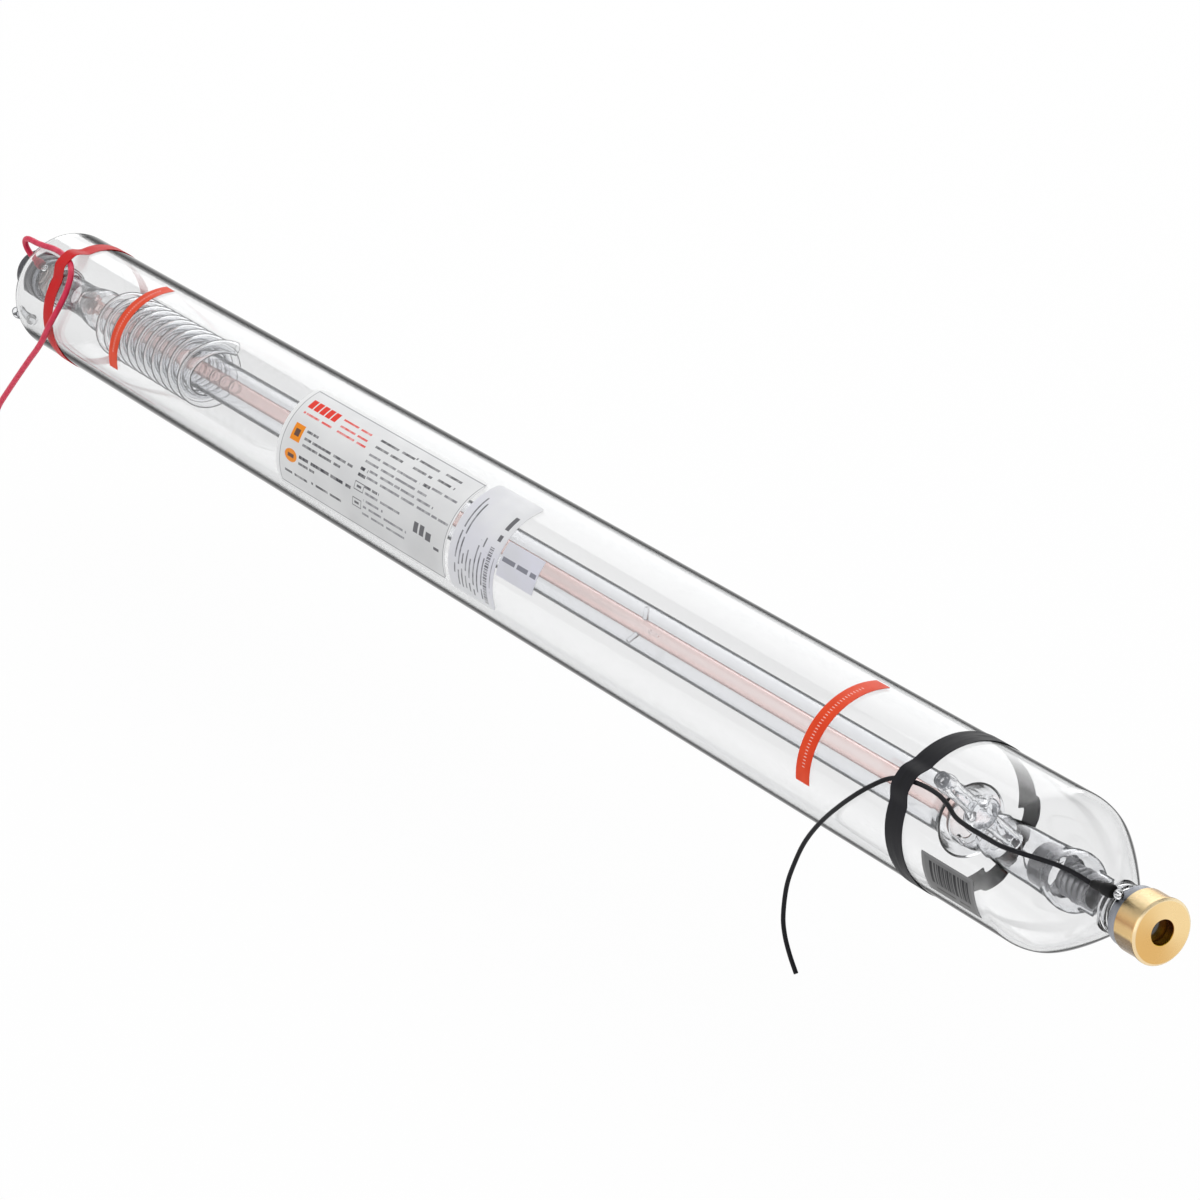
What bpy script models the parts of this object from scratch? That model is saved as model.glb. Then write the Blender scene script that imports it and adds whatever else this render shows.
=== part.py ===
"""A sealed, water-cooled glass laser tube, 80 mm across and 1250 mm long.

X runs along the optical axis towards the output head and Z is up. The origin lies on that axis, at the
middle of the front support strip, where a saddle clamp holds the tube. Places along the tube are given
as distances back from the output head's front face, and places round it as angles up from -Y.
"""

import math

import bmesh
import bpy
import numpy as np
from mathutils import Matrix, Vector

MM = 0.001
FIT = 0.3  # clearance between pieces that seat on each other

# Overall
LENGTH = 1250.0
SUPPORT_BACK = 237.0  # front support strip, which is the origin
GLASS_R = 40.0
GLASS_WALL = 2.3
RIM_R = 9.0
DOME_BACK = 78.0  # where the straight glass turns into the shoulder
DOME_END_BACK = 34.0
SHOULDER_POWER = 1.2
REAR_NECK_R = 13.0
REAR_NECK_LONG = 17.9
DOME_END_R = 13.3
NECK_R = 12.4
NECK_BORE_R = 10.8
RIDGE_R = 13.2
RIDGE_BACKS = (31.1, 26.6)

# Metal heads
HEAD_R = 15.9
HEAD_LONG = 15.7
FACE_R = 16.5
FACE_LONG = 2.6
HEAD_EDGE = 0.9
APERTURE_R = 6.25
LENS_R = 8.5
LENS_THICK = 3.0
LENS_DEPTH = 5.2
RING_R = 15.1
RING_LONG = 5.6
MIRROR_HEAD_LONG = 22.4
MIRROR_R = 9.0
MIRROR_THICK = 4.0
ADJUSTER_R = 1.6
ADJUSTER_CIRCLE_R = 11.4
ADJUSTERS = 3

REAR_WALL_BACK = LENGTH - MIRROR_HEAD_LONG - RING_LONG - 2 * FIT - REAR_NECK_LONG

# Inner glass
JACKET_R = 13.0
JACKET_WALL = 1.4
JACKET_FRONT_BACK = 148.7
ANODE_SPACE = 77.5  # from the jacket's end to the rear wall
JACKET_REAR_BACK = REAR_WALL_BACK - ANODE_SPACE
FLARE_R = 19.2
FLARE_LONG = 17.0
BORE_TUBE_R = 4.8
BORE_TUBE_WALL = 1.2
BORE_TUBE_REAR_BACK = JACKET_REAR_BACK + 38.0
FUNNEL_R = 11.4
FUNNEL_LONG = 12.5
CHAMBER_WALL = 1.2
CHAMBER_BODY_R = 12.6
CHAMBER_REAR_BACK = 153.0
ANODE_CHAMBER_R = 11.6
PEG_R = 1.6
PEG_BACK = 452.0
PEG_ANGLES = (95.0, -25.0, 215.0)

# Gas return coil
COIL_TUBE_R = 4.4
COIL_BORE_R = 3.2
COIL_R = 19.2
COIL_PITCH = 12.0
COIL_TURNS = 10.67
COIL_FRONT_BACK = JACKET_REAR_BACK - 156.0
COIL_FRONT_ANGLE = 125.0
COIL_START = 9.0  # what the first half turn is stretched by
COIL_TAIL = ((3.6, 26, 19.2), (9.5, 46, 19.2), (16.5, 60, 19.0), (22.5, 70, 18.2), (28.0, 78, 16.2),
             (33.0, 84, 13.4))
PORT_BACK = COIL_FRONT_BACK + 21.0
PORT_ANGLE = 64.0

# Electrodes
SLEEVE_R = CHAMBER_BODY_R - 1.6
SLEEVE_WALL = 0.6
SLEEVE_FRONT_BACK = 72.5
SLEEVE_REAR_BACK = 89.0
TIP_SLEEVE_R = 8.45
TIP_SLEEVE_FRONT_BACK = 48.0
TIP_SLEEVE_REAR_BACK = 70.0
TIP_RIBS = 4
STAY_R = 0.45
STAY_BACK = 108.0
ANODE_R = 9.8
ANODE_LONG = 24.0
ANODE_REAR_BACK = REAR_WALL_BACK - 6.0

# Water nipples
NIPPLE_R = 4.2
NIPPLE_BORE_R = 2.6
NIPPLE_LONG = 33.0
OUTLET_BACK = 102.0
OUTLET_ANGLE = 43.5
INLET_ANGLE = -34.0
INLET_AXIS_R = 31.8
INLET_LONG = 26.0
INLET_R = 3.5

# Leads and their terminals
BLACK_LEAD_R = 1.2
RED_LEAD_R = 2.0
BOOT_R = 3.3
BEAD_R = 2.6
PIN_R = 0.6

# Tapes, strips and labels
TAPE_THICK = 0.5
LABEL_THICK = 0.2
BLACK_TAPE_BACK = 157.4
BLACK_TAPE_WIDE = 14.5
RED_TAPE_BACK = REAR_WALL_BACK - 50.2
RED_TAPE_WIDE = 14.0
RED_TAPE_LEAN = 9.5
STRIP_WIDE = 12.0
REAR_STRIP_BACK = REAR_WALL_BACK - 161.0
RATING_FRONT = 603.5
RATING_LONG = 208.0
CERTIFICATE_FRONT = 548.6
CERTIFICATE_LONG = 50.6
SIDE_UP_FRONT = 507.0
SIDE_UP_LONG = 39.6
CODE_FRONT = 91.0
CODE_LONG = 42.8
CORNER_R = 3.5

GLASS_SIDES = 40
INNER_SIDES = 24
METAL_SIDES = 32
COIL_STEPS = 12  # to a turn
COIL_SIDES = 7

GLASS_TINT = (0.86, 0.88, 0.89)


def finish(name, colour, roughness=0.4, metallic=0.0, clear=0.0):
    """A material of one colour."""
    made = bpy.data.materials.new(name)
    made.use_nodes = True
    shader = made.node_tree.nodes["Principled BSDF"]
    shader.inputs["Base Color"].default_value = (*colour, 1.0)
    shader.inputs["Roughness"].default_value = roughness
    shader.inputs["Metallic"].default_value = metallic
    shader.inputs["Transmission Weight"].default_value = clear
    made.diffuse_color = (*colour, 1.0 - 0.6 * clear)
    return made


def glass(name, colour=GLASS_TINT):
    return finish(name, colour, roughness=0.02, clear=1.0)


def x_at(back):
    """X in millimetres of a place so far back from the output head's front face."""
    return SUPPORT_BACK - back


def round_axis(back, angle, radius):
    """A point in millimetres, at an angle up from -Y round the optical axis."""
    turn = math.radians(angle)
    return Vector((x_at(back), -radius * math.cos(turn), radius * math.sin(turn)))


def place(mesh_object, made):
    bpy.context.scene.collection.objects.link(mesh_object)
    mesh_object.data.materials.append(made)
    return mesh_object


def solid(name, bm, made, smooth_angle=35.0):
    """A closed bmesh in millimetres as a named object in metres, with its faces pointing out."""
    bmesh.ops.remove_doubles(bm, verts=bm.verts, dist=1e-4)
    bmesh.ops.delete(bm, geom=[edge for edge in bm.edges if not edge.link_faces], context="EDGES")
    bmesh.ops.recalc_face_normals(bm, faces=bm.faces)
    bmesh.ops.scale(bm, verts=bm.verts, vec=(MM, MM, MM))
    mesh = bpy.data.meshes.new(name)
    bm.to_mesh(mesh)
    bm.free()
    mesh.shade_smooth()
    mesh.set_sharp_from_angle(angle=math.radians(smooth_angle))
    return place(bpy.data.objects.new(name, mesh), made)


def spun(outline, sides):
    """The body of revolution of a closed outline of (x, r) points round the X axis."""
    bm = bmesh.new()
    corners = [bm.verts.new((x, 0.0, r)) for x, r in outline]
    edges = [bm.edges.new(pair) for pair in zip(corners, corners[1:] + corners[:1])]
    bmesh.ops.spin(
        bm, geom=corners + edges, cent=(0, 0, 0), axis=(1, 0, 0),
        angle=math.tau, steps=sides, use_merge=True,
    )
    bmesh.ops.remove_doubles(bm, verts=bm.verts, dist=1e-4)
    return bm


def turned(name, outline, made, sides):
    """A piece turned round the optical axis, from (back, r) points."""
    return solid(name, spun([(x_at(back), r) for back, r in outline], sides), made)


def inset(points, wall):
    """The line that runs one wall inside an outline of (back, r) points, which goes from rear to front."""
    line = [Vector(p) for p in points]
    ways = [(b - a).normalized() for a, b in zip(line, line[1:])]
    moved = []
    for before, here, after in zip(ways[:1] + ways, line, ways + ways[-1:]):
        mean = (before + after).normalized()
        moved.append(tuple(here + Vector((-mean.y, mean.x)) * (wall / max(mean.dot(before), 0.6))))
    return moved


def blown(outer, wall):
    """The closed outline of a glass tube of even wall with this outer line."""
    return outer + inset(outer, wall)[::-1]


def arc(centre, radius, start, end, steps):
    """Points of a quarter turn or less in the (back, r) plane, angles from +back towards +r."""
    return [
        (centre[0] + radius * math.cos(math.radians(a)), centre[1] + radius * math.sin(math.radians(a)))
        for a in np.linspace(start, end, steps)
    ]


def along(start, end, outline, sides):
    """A body of revolution with its axis from one point to another, from (distance, r) points."""
    bm = spun(outline, sides)
    turn = (end - start).to_track_quat("X", "Z").to_matrix().to_4x4()
    bmesh.ops.transform(bm, matrix=Matrix.Translation(start) @ turn, verts=bm.verts)
    return bm


def cutter(name, bm):
    made = bpy.data.materials.get("cutter") or finish("cutter", (0.8, 0.2, 0.2))
    tool = solid(name, bm, made)
    tool.hide_render = True
    tool.display_type = "WIRE"
    return tool


def bored(piece, tool, operation="DIFFERENCE"):
    cut = piece.modifiers.new(tool.name, "BOOLEAN")
    cut.operation = operation
    cut.solver = "EXACT"
    cut.object = tool
    return piece


def rod(start, end, radius, sides=24):
    long = (end - start).length
    return along(start, end, [(0, 0), (0, radius), (long, radius), (long, 0)], sides)


def wrapped(name, fronts, backs, angles, inner, thick, made, closed=False):
    """A thin sheet that lies round the glass: its front and back edges and inner radius go by angle."""
    bm = bmesh.new()
    rings = []
    for angle in angles:
        near, far, low = fronts(angle), backs(angle), inner(angle)
        rings.append([
            bm.verts.new(round_axis(back, angle, radius))
            for back, radius in ((near, low), (far, low), (far, low + thick), (near, low + thick))
        ])
    for ring, following in zip(rings, rings[1:] + rings[:1] if closed else rings[1:]):
        for k in range(4):
            bm.faces.new((ring[k], ring[k - 1], following[k - 1], following[k]))
    if not closed:
        bm.faces.new(rings[0])
        bm.faces.new(rings[-1][::-1])
    return solid(name, bm, made)


def label(name, front, back, low_angle, high_angle, made, corner=CORNER_R, thick=LABEL_THICK):
    """A label with rounded corners on the outside of the glass."""
    radius = GLASS_R + FIT
    turn = math.degrees(corner / radius)
    ends = list(np.linspace(0.0, turn, 5))
    middle = list(np.linspace(turn, high_angle - low_angle - turn, max(3, int((high_angle - low_angle) / 5))))
    angles = [low_angle + a for a in ends + middle[1:-1]] + [high_angle - a for a in ends[::-1]]

    def cut_back(angle):
        edge = math.radians(min(angle - low_angle, high_angle - angle)) * radius
        short = max(corner - edge, 0.0)
        return corner - math.sqrt(max(corner * corner - short * short, 0.0))

    return wrapped(name, lambda a: front + cut_back(a), lambda a: back - cut_back(a), angles,
                   lambda a: radius, thick, made)


def tape_lift(angle, middle, plateau, slope, height):
    """How far a tape rises off the glass to pass over a lead."""
    away = abs(angle - middle) - plateau
    share = min(max(1.0 - away / slope, 0.0), 1.0)
    return height * share * share * (3.0 - 2.0 * share)


def smooth_route(points, spacing):
    """Evenly spaced points of a Catmull-Rom curve through a route's own points."""
    ends = [points[0] * 2 - points[1]] + points + [points[-1] * 2 - points[-2]]
    fine = []
    for a, b, c, d in zip(ends, ends[1:], ends[2:], ends[3:]):
        for t in np.linspace(0, 1, 24, endpoint=False):
            fine.append(0.5 * (2 * b + (c - a) * t + (2 * a - 5 * b + 4 * c - d) * t ** 2
                               + (3 * b - a - 3 * c + d) * t ** 3))
    fine.append(points[-1])
    steps = [0.0]
    for a, b in zip(fine, fine[1:]):
        steps.append(steps[-1] + (b - a).length)
    count = max(2, round(steps[-1] / spacing))
    wanted = np.linspace(0, steps[-1], count + 1)
    return [Vector([float(np.interp(s, steps, [p[k] for p in fine])) for k in range(3)]) for s in wanted]


def lead(name, points, radius, spacing, made):
    """A free lead: a round tube on a curve through the route's points."""
    curve = bpy.data.curves.new(name, "CURVE")
    curve.dimensions = "3D"
    route = smooth_route(points, spacing)
    spline = curve.splines.new("POLY")
    spline.points.add(len(route) - 1)
    for spot, point in zip(spline.points, route):
        spot.co = (*(point * MM), 1.0)
    curve.bevel_depth = radius * MM
    curve.bevel_resolution = 2
    curve.use_fill_caps = True
    return place(bpy.data.objects.new(name, curve), made)


def clear_scene():
    for thing in list(bpy.data.objects):
        bpy.data.objects.remove(thing, do_unlink=True)


def shoulder(back):
    """Outer radius of the front dome."""
    share = (DOME_BACK - back) / (DOME_BACK - DOME_END_BACK)
    return DOME_END_R + (GLASS_R - DOME_END_R) * (1 - share ** SHOULDER_POWER)


def neck_front():
    return HEAD_LONG + RING_LONG + 2 * FIT


def rear_neck_back():
    return REAR_WALL_BACK + REAR_NECK_LONG


def make_envelope():
    """The outer vessel: rear neck, flat rear wall, straight glass, shoulder and ridged front neck."""
    rear = [(rear_neck_back(), REAR_NECK_R), (REAR_WALL_BACK + 2.5, REAR_NECK_R)]
    rear += arc((REAR_WALL_BACK + 2.5, REAR_NECK_R + 2.5), 2.5, -130, -180, 2)
    rim = arc((REAR_WALL_BACK - RIM_R, GLASS_R - RIM_R), RIM_R, 0, 90, 7)
    dome = [(back, shoulder(back)) for back in np.linspace(DOME_BACK, DOME_END_BACK + 3, 9)]
    neck = [(DOME_END_BACK, DOME_END_R + 0.4), (DOME_END_BACK - 1.2, NECK_R)]
    for ridge in RIDGE_BACKS:
        neck += [(ridge + 1.1, NECK_R), (ridge, RIDGE_R), (ridge - 1.3, NECK_R)]
    neck += [(neck_front() + 1.2, NECK_R + 0.4), (neck_front(), NECK_R)]
    floor = REAR_WALL_BACK - GLASS_WALL
    inner = [(rear_neck_back(), NECK_BORE_R), (floor, NECK_BORE_R)]
    inner += arc((REAR_WALL_BACK - RIM_R, GLASS_R - RIM_R), RIM_R - GLASS_WALL, 0, 90, 5)
    inner += inset(dome, GLASS_WALL)
    inner += [(DOME_END_BACK, NECK_BORE_R + 0.3), (neck_front(), NECK_BORE_R)]
    envelope = turned("gas_envelope", rear + rim + dome + neck + inner[::-1], glass("envelope_glass"), GLASS_SIDES)
    drill = rod(round_axis(OUTLET_BACK, OUTLET_ANGLE, 30), round_axis(OUTLET_BACK, OUTLET_ANGLE, 50),
                NIPPLE_BORE_R + 0.3, 16)
    bored(envelope, cutter("outlet_hole", drill))
    inlet_axis = round_axis(REAR_WALL_BACK, INLET_ANGLE, INLET_AXIS_R)
    push = Vector((10.0, 0.0, 0.0))
    bored(envelope, cutter("inlet_hole", rod(inlet_axis - push, inlet_axis + push, NIPPLE_BORE_R - 0.4, 16)))


def make_jacket():
    """The water jacket round the discharge tube, with its flared ring seal at the front."""
    front, rear = JACKET_FRONT_BACK, JACKET_REAR_BACK
    hole, wall = BORE_TUBE_R + FIT, JACKET_WALL
    outer = [
        (rear, hole), (rear, JACKET_R - 3.2), (rear - 1.2, JACKET_R - 1.0), (rear - 3.5, JACKET_R),
        (front + FLARE_LONG, JACKET_R), (front + 10.0, JACKET_R + 1.1), (front + 5.5, JACKET_R + 2.9),
        (front + 2.4, FLARE_R - 1.4), (front + 1.1, FLARE_R), (front + 0.4, FLARE_R - 0.4),
        (front, CHAMBER_BODY_R + FIT),
    ]
    inner = [
        (rear - wall, hole), (rear - wall, JACKET_R - 3.8), (rear - 4.4, JACKET_R - wall),
        (front + FLARE_LONG, JACKET_R - wall), (front + 10.6, JACKET_R - 0.2), (front + 6.4, JACKET_R + 1.3),
        (front + 2.6, FLARE_R - 3.0), (front + 1.4, CHAMBER_BODY_R + FIT),
    ]
    jacket = turned("water_jacket", outer + inner[::-1], glass("jacket_glass"), INNER_SIDES)
    drill = rod(round_axis(PORT_BACK, PORT_ANGLE, 5), round_axis(PORT_BACK, PORT_ANGLE, 20), 2.4, 12)
    bored(jacket, cutter("jacket_port_hole", drill))
    port = along(
        round_axis(PORT_BACK, PORT_ANGLE, JACKET_R + FIT), round_axis(PORT_BACK, PORT_ANGLE, JACKET_R + 5),
        [(0, 3.6), (0.6, 3.5), (1.1, 3.1), (1.1, 2.4), (0, 2.4)], 16)
    solid("jacket_port", port, glass("port_glass"))


def make_discharge_tube():
    """The narrow tube that the gas glows in, flared to a funnel at each end, with its spacer pegs."""
    front = CHAMBER_REAR_BACK + FIT
    outer = [
        (BORE_TUBE_REAR_BACK, BORE_TUBE_R + 3.2), (BORE_TUBE_REAR_BACK - 4, BORE_TUBE_R + 1.4),
        (BORE_TUBE_REAR_BACK - 9, BORE_TUBE_R), (front + FUNNEL_LONG, BORE_TUBE_R),
        (front + FUNNEL_LONG * 0.6, BORE_TUBE_R + 1.0), (front + FUNNEL_LONG * 0.3, BORE_TUBE_R + 3.4),
        (front + 2.2, FUNNEL_R - 0.8), (front, FUNNEL_R),
    ]
    turned("discharge_tube", blown(outer, BORE_TUBE_WALL), glass("bore_glass", (0.93, 0.82, 0.79)), 22)
    for n, angle in enumerate(PEG_ANGLES, 1):
        start = round_axis(PEG_BACK, angle, BORE_TUBE_R + FIT)
        end = round_axis(PEG_BACK, angle, JACKET_R - JACKET_WALL - FIT)
        solid(f"spacer_peg_{n}", rod(start, end, PEG_R, 12), glass("peg_glass"))


def make_cathode_chamber():
    """The front chamber: a waist, a body that swells to a bulb, and a spout that reaches the front neck."""
    rear, r = CHAMBER_REAR_BACK, CHAMBER_BODY_R
    seat, spout = NECK_BORE_R - FIT, NECK_BORE_R - 1.0
    outer = [
        (rear, FUNNEL_R), (rear - 1.5, r - 0.3), (rear - 3, r), (rear - 7, r), (rear - 13, r - 0.4),
        (rear - 18.5, r - 1.9), (rear - 22.5, r - 2.0), (rear - 27, r - 1.0), (rear - 32, r - 0.4),
        (90, r + 0.1), (76, r + 0.8), (71, r + 2.0), (66, r + 2.4), (61, r + 1.6), (57, r - 0.4),
        (55, spout + 0.8), (52, spout + 0.2), (40, spout), (36, seat), (27, seat),
    ]
    chamber = turned("cathode_chamber", blown(outer, CHAMBER_WALL), glass("chamber_glass"), INNER_SIDES)
    drill = rod(round_axis(OUTLET_BACK, OUTLET_ANGLE, 8), round_axis(OUTLET_BACK, OUTLET_ANGLE, 20),
                NIPPLE_BORE_R, 12)
    bored(chamber, cutter("chamber_water_hole", drill))


def make_anode_chamber():
    """The rear chamber round the discharge tube's mouth, which ends on the rear wall."""
    front = JACKET_REAR_BACK + FIT
    rear = REAR_WALL_BACK - GLASS_WALL - FIT
    r = ANODE_CHAMBER_R
    outer = [
        (rear, r + 1.4), (rear - 2.0, r + 1.0), (rear - 4.5, r), (front + 44, r), (front + 32, r + 0.9),
        (front + 21, r + 2.6), (front + 13, r + 3.2), (front + 6, r + 2.4), (front + 1.7, r + 0.4),
        (front, r - 2.4), (front, BORE_TUBE_R + FIT),
    ]
    turned("anode_chamber", blown(outer, CHAMBER_WALL), glass("anode_glass"), INNER_SIDES)


def coil_path():
    """Centres along the return coil, from its open front end to where it dives to the anode chamber."""
    path = []
    for turns in np.linspace(0, COIL_TURNS, round(COIL_TURNS * COIL_STEPS) + 1):
        lift = 2.6 * max(0.0, 1 - turns / 0.2)
        eased = min(turns / 0.5, 1.0)
        back = COIL_FRONT_BACK + COIL_START * eased * eased * (3 - 2 * eased) + COIL_PITCH * turns
        path.append(round_axis(back, COIL_FRONT_ANGLE - 360 * turns, COIL_R + lift))
    end = COIL_FRONT_ANGLE - 360 * COIL_TURNS
    rear = COIL_FRONT_BACK + COIL_START + COIL_PITCH * COIL_TURNS
    for reach, turn, radius in COIL_TAIL:
        path.append(round_axis(rear + reach, end - turn, radius))
    return path


def make_return_coil():
    """The gas return path: a capillary wound round the jacket, open in front, that ends on the anode chamber."""
    path = coil_path()
    bm = bmesh.new()
    rings = []
    for n, here in enumerate(path):
        way = (path[min(n + 1, len(path) - 1)] - path[max(n - 1, 0)]).normalized()
        side = way.cross(Vector((1, 0, 0))).normalized()
        up = side.cross(way)
        rings.append([
            [bm.verts.new(here + radius * (math.cos(a) * side + math.sin(a) * up))
             for a in np.linspace(0, math.tau, COIL_SIDES, endpoint=False)]
            for radius in (COIL_TUBE_R, COIL_BORE_R)
        ])
    for (outer, inner), (outer_next, inner_next) in zip(rings, rings[1:]):
        for k in range(COIL_SIDES):
            bm.faces.new((outer[k - 1], outer[k], outer_next[k], outer_next[k - 1]))
            bm.faces.new((inner[k], inner[k - 1], inner_next[k - 1], inner_next[k]))
    for outer, inner in (rings[0], rings[-1]):
        for k in range(COIL_SIDES):
            bm.faces.new((outer[k - 1], outer[k], inner[k], inner[k - 1]))
    coil = solid("return_coil", bm, glass("coil_glass"))
    seat = rod(round_axis(JACKET_REAR_BACK - 6, 0, 0), round_axis(JACKET_REAR_BACK + 40, 0, 0),
               ANODE_CHAMBER_R + 3.5, 48)
    bored(coil, cutter("coil_seat", seat))


def make_output_head():
    """The brass output head, with its aperture in front and the coupler's pocket behind."""
    rear, pocket = HEAD_LONG, LENS_DEPTH
    outline = [
        (rear, LENS_R + FIT), (rear, HEAD_R - 0.7), (rear - 0.7, HEAD_R), (FACE_LONG, HEAD_R),
        (FACE_LONG - 0.5, FACE_R), (HEAD_EDGE, FACE_R), (0.25, FACE_R - HEAD_EDGE + 0.25),
        (0.0, FACE_R - HEAD_EDGE - 0.2), (0.0, APERTURE_R + 0.5), (0.5, APERTURE_R),
        (pocket, APERTURE_R), (pocket, LENS_R + FIT),
    ]
    turned("output_head", outline, finish("brass", (0.78, 0.52, 0.24), 0.25, 1.0), METAL_SIDES)
    front = pocket + FIT
    turned("output_coupler", [(front + LENS_THICK, 0), (front + LENS_THICK, LENS_R), (front, LENS_R), (front, 0)],
           finish("coupler_crystal", (0.75, 0.42, 0.04), 0.08, clear=0.6), INNER_SIDES)
    ring = HEAD_LONG + FIT
    turned("head_seal_ring", [
        (ring + RING_LONG, NECK_BORE_R), (ring + RING_LONG, RING_R - 0.4), (ring + RING_LONG - 0.4, RING_R),
        (ring + 0.3, RING_R), (ring, RING_R - 0.3), (ring, NECK_BORE_R),
    ], finish("seal_ring_metal", (0.55, 0.56, 0.6), 0.3, 1.0), METAL_SIDES)


def make_mirror_head():
    """The rear mirror head, its mirror, its seal ring and the three screws that set the mirror."""
    front = LENGTH - MIRROR_HEAD_LONG
    bowl = front + MIRROR_THICK + 2 * FIT
    outline = [
        (LENGTH, 0), (LENGTH, HEAD_R - 1.0), (LENGTH - 1.0, HEAD_R), (front + 14.0, HEAD_R),
        (front + 13.0, HEAD_R - 1.4), (front + 9.0, HEAD_R - 1.4), (front + 8.0, HEAD_R), (front + 0.6, HEAD_R),
        (front, HEAD_R - 0.6), (front, MIRROR_R + FIT), (bowl, MIRROR_R + FIT), (bowl, 0),
    ]
    head = turned("mirror_head", outline, finish("mirror_head_metal", (0.30, 0.31, 0.33), 0.35, 1.0), METAL_SIDES)
    mirror = front + FIT
    turned("rear_mirror", [(mirror + MIRROR_THICK, 0), (mirror + MIRROR_THICK, MIRROR_R), (mirror, MIRROR_R),
                           (mirror, 0)], finish("mirror_coat", (0.85, 0.72, 0.45), 0.05, 1.0), INNER_SIDES)
    for n in range(ADJUSTERS):
        angle = 90 + 360 / ADJUSTERS * n
        deep = round_axis(LENGTH - 5.0, angle, ADJUSTER_CIRCLE_R)
        out = round_axis(LENGTH + 5.0, angle, ADJUSTER_CIRCLE_R)
        bored(head, cutter(f"adjuster_hole_{n + 1}", rod(deep, out, ADJUSTER_R + FIT, 16)))
        screw = along(
            deep - Vector((FIT, 0, 0)), out,
            [(0, 0), (0, ADJUSTER_R), (4.0, ADJUSTER_R), (4.0, 0.9), (2.4, 0.9), (2.4, 0)], 12)
        solid(f"adjuster_screw_{n + 1}", screw, finish(f"screw_steel_{n + 1}", (0.2, 0.2, 0.21), 0.4, 1.0))
    ring = front - FIT
    turned("mirror_seal_ring", [
        (ring, NECK_BORE_R), (ring, RING_R - 0.3), (ring - 0.3, RING_R), (ring - RING_LONG + 0.4, RING_R),
        (ring - RING_LONG, RING_R - 0.4), (ring - RING_LONG, NECK_BORE_R),
    ], finish("mirror_ring_metal", (0.55, 0.56, 0.6), 0.3, 1.0), METAL_SIDES)


def make_electrodes():
    """The cathode's two sleeves with their stay, and the anode's ring."""
    nickel = (0.42, 0.42, 0.43)
    front, rear, r = SLEEVE_FRONT_BACK, SLEEVE_REAR_BACK, SLEEVE_R
    inner = r - SLEEVE_WALL
    turned("cathode_sleeve", [
        (rear, inner), (rear, r - 0.5), (rear - 0.5, r), (front + 0.4, r), (front, r - 0.4), (front, inner),
    ], finish("cathode_metal", nickel, 0.35, 1.0), METAL_SIDES)
    front, rear, r = TIP_SLEEVE_FRONT_BACK, TIP_SLEEVE_REAR_BACK, TIP_SLEEVE_R
    pitch = (rear - front - 4.0) / TIP_RIBS
    ribs = []
    for n in range(TIP_RIBS):
        crest = rear - 2.0 - pitch * (n + 0.5)
        ribs += [(crest + 1.5, r - 0.7), (crest, r), (crest - 1.5, r - 0.7)]
    turned("cathode_tip_sleeve", [(rear, r - 1.4), (rear, r), (rear - 1.4, r)] + ribs
           + [(front + 1.4, r), (front, r), (front, r - 1.4)],
           finish("tip_metal", nickel, 0.35, 1.0), INNER_SIDES)
    reach = CHAMBER_BODY_R - CHAMBER_WALL - FIT
    cross = rod(round_axis(STAY_BACK, 75, reach), round_axis(STAY_BACK, 255, reach), STAY_R, 8)
    stay = solid("cathode_stay", cross, finish("stay_wire", (0.3, 0.3, 0.31), 0.4, 1.0))
    tail = rod(round_axis(STAY_BACK, 0, 0), round_axis(SLEEVE_REAR_BACK + FIT, 0, 0), STAY_R, 8)
    bored(stay, cutter("stay_tail", tail), "UNION")
    bar = rod(round_axis(SLEEVE_REAR_BACK + 1.0, 0, inner), round_axis(SLEEVE_REAR_BACK + 1.0, 180, inner), STAY_R, 8)
    bored(stay, cutter("stay_bar", bar), "UNION")
    rear = ANODE_REAR_BACK
    turned("anode_sleeve", [
        (rear, ANODE_R - 0.7), (rear, ANODE_R), (rear - ANODE_LONG, ANODE_R), (rear - ANODE_LONG, ANODE_R - 0.7),
    ], finish("anode_metal", nickel, 0.35, 1.0), INNER_SIDES)


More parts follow.
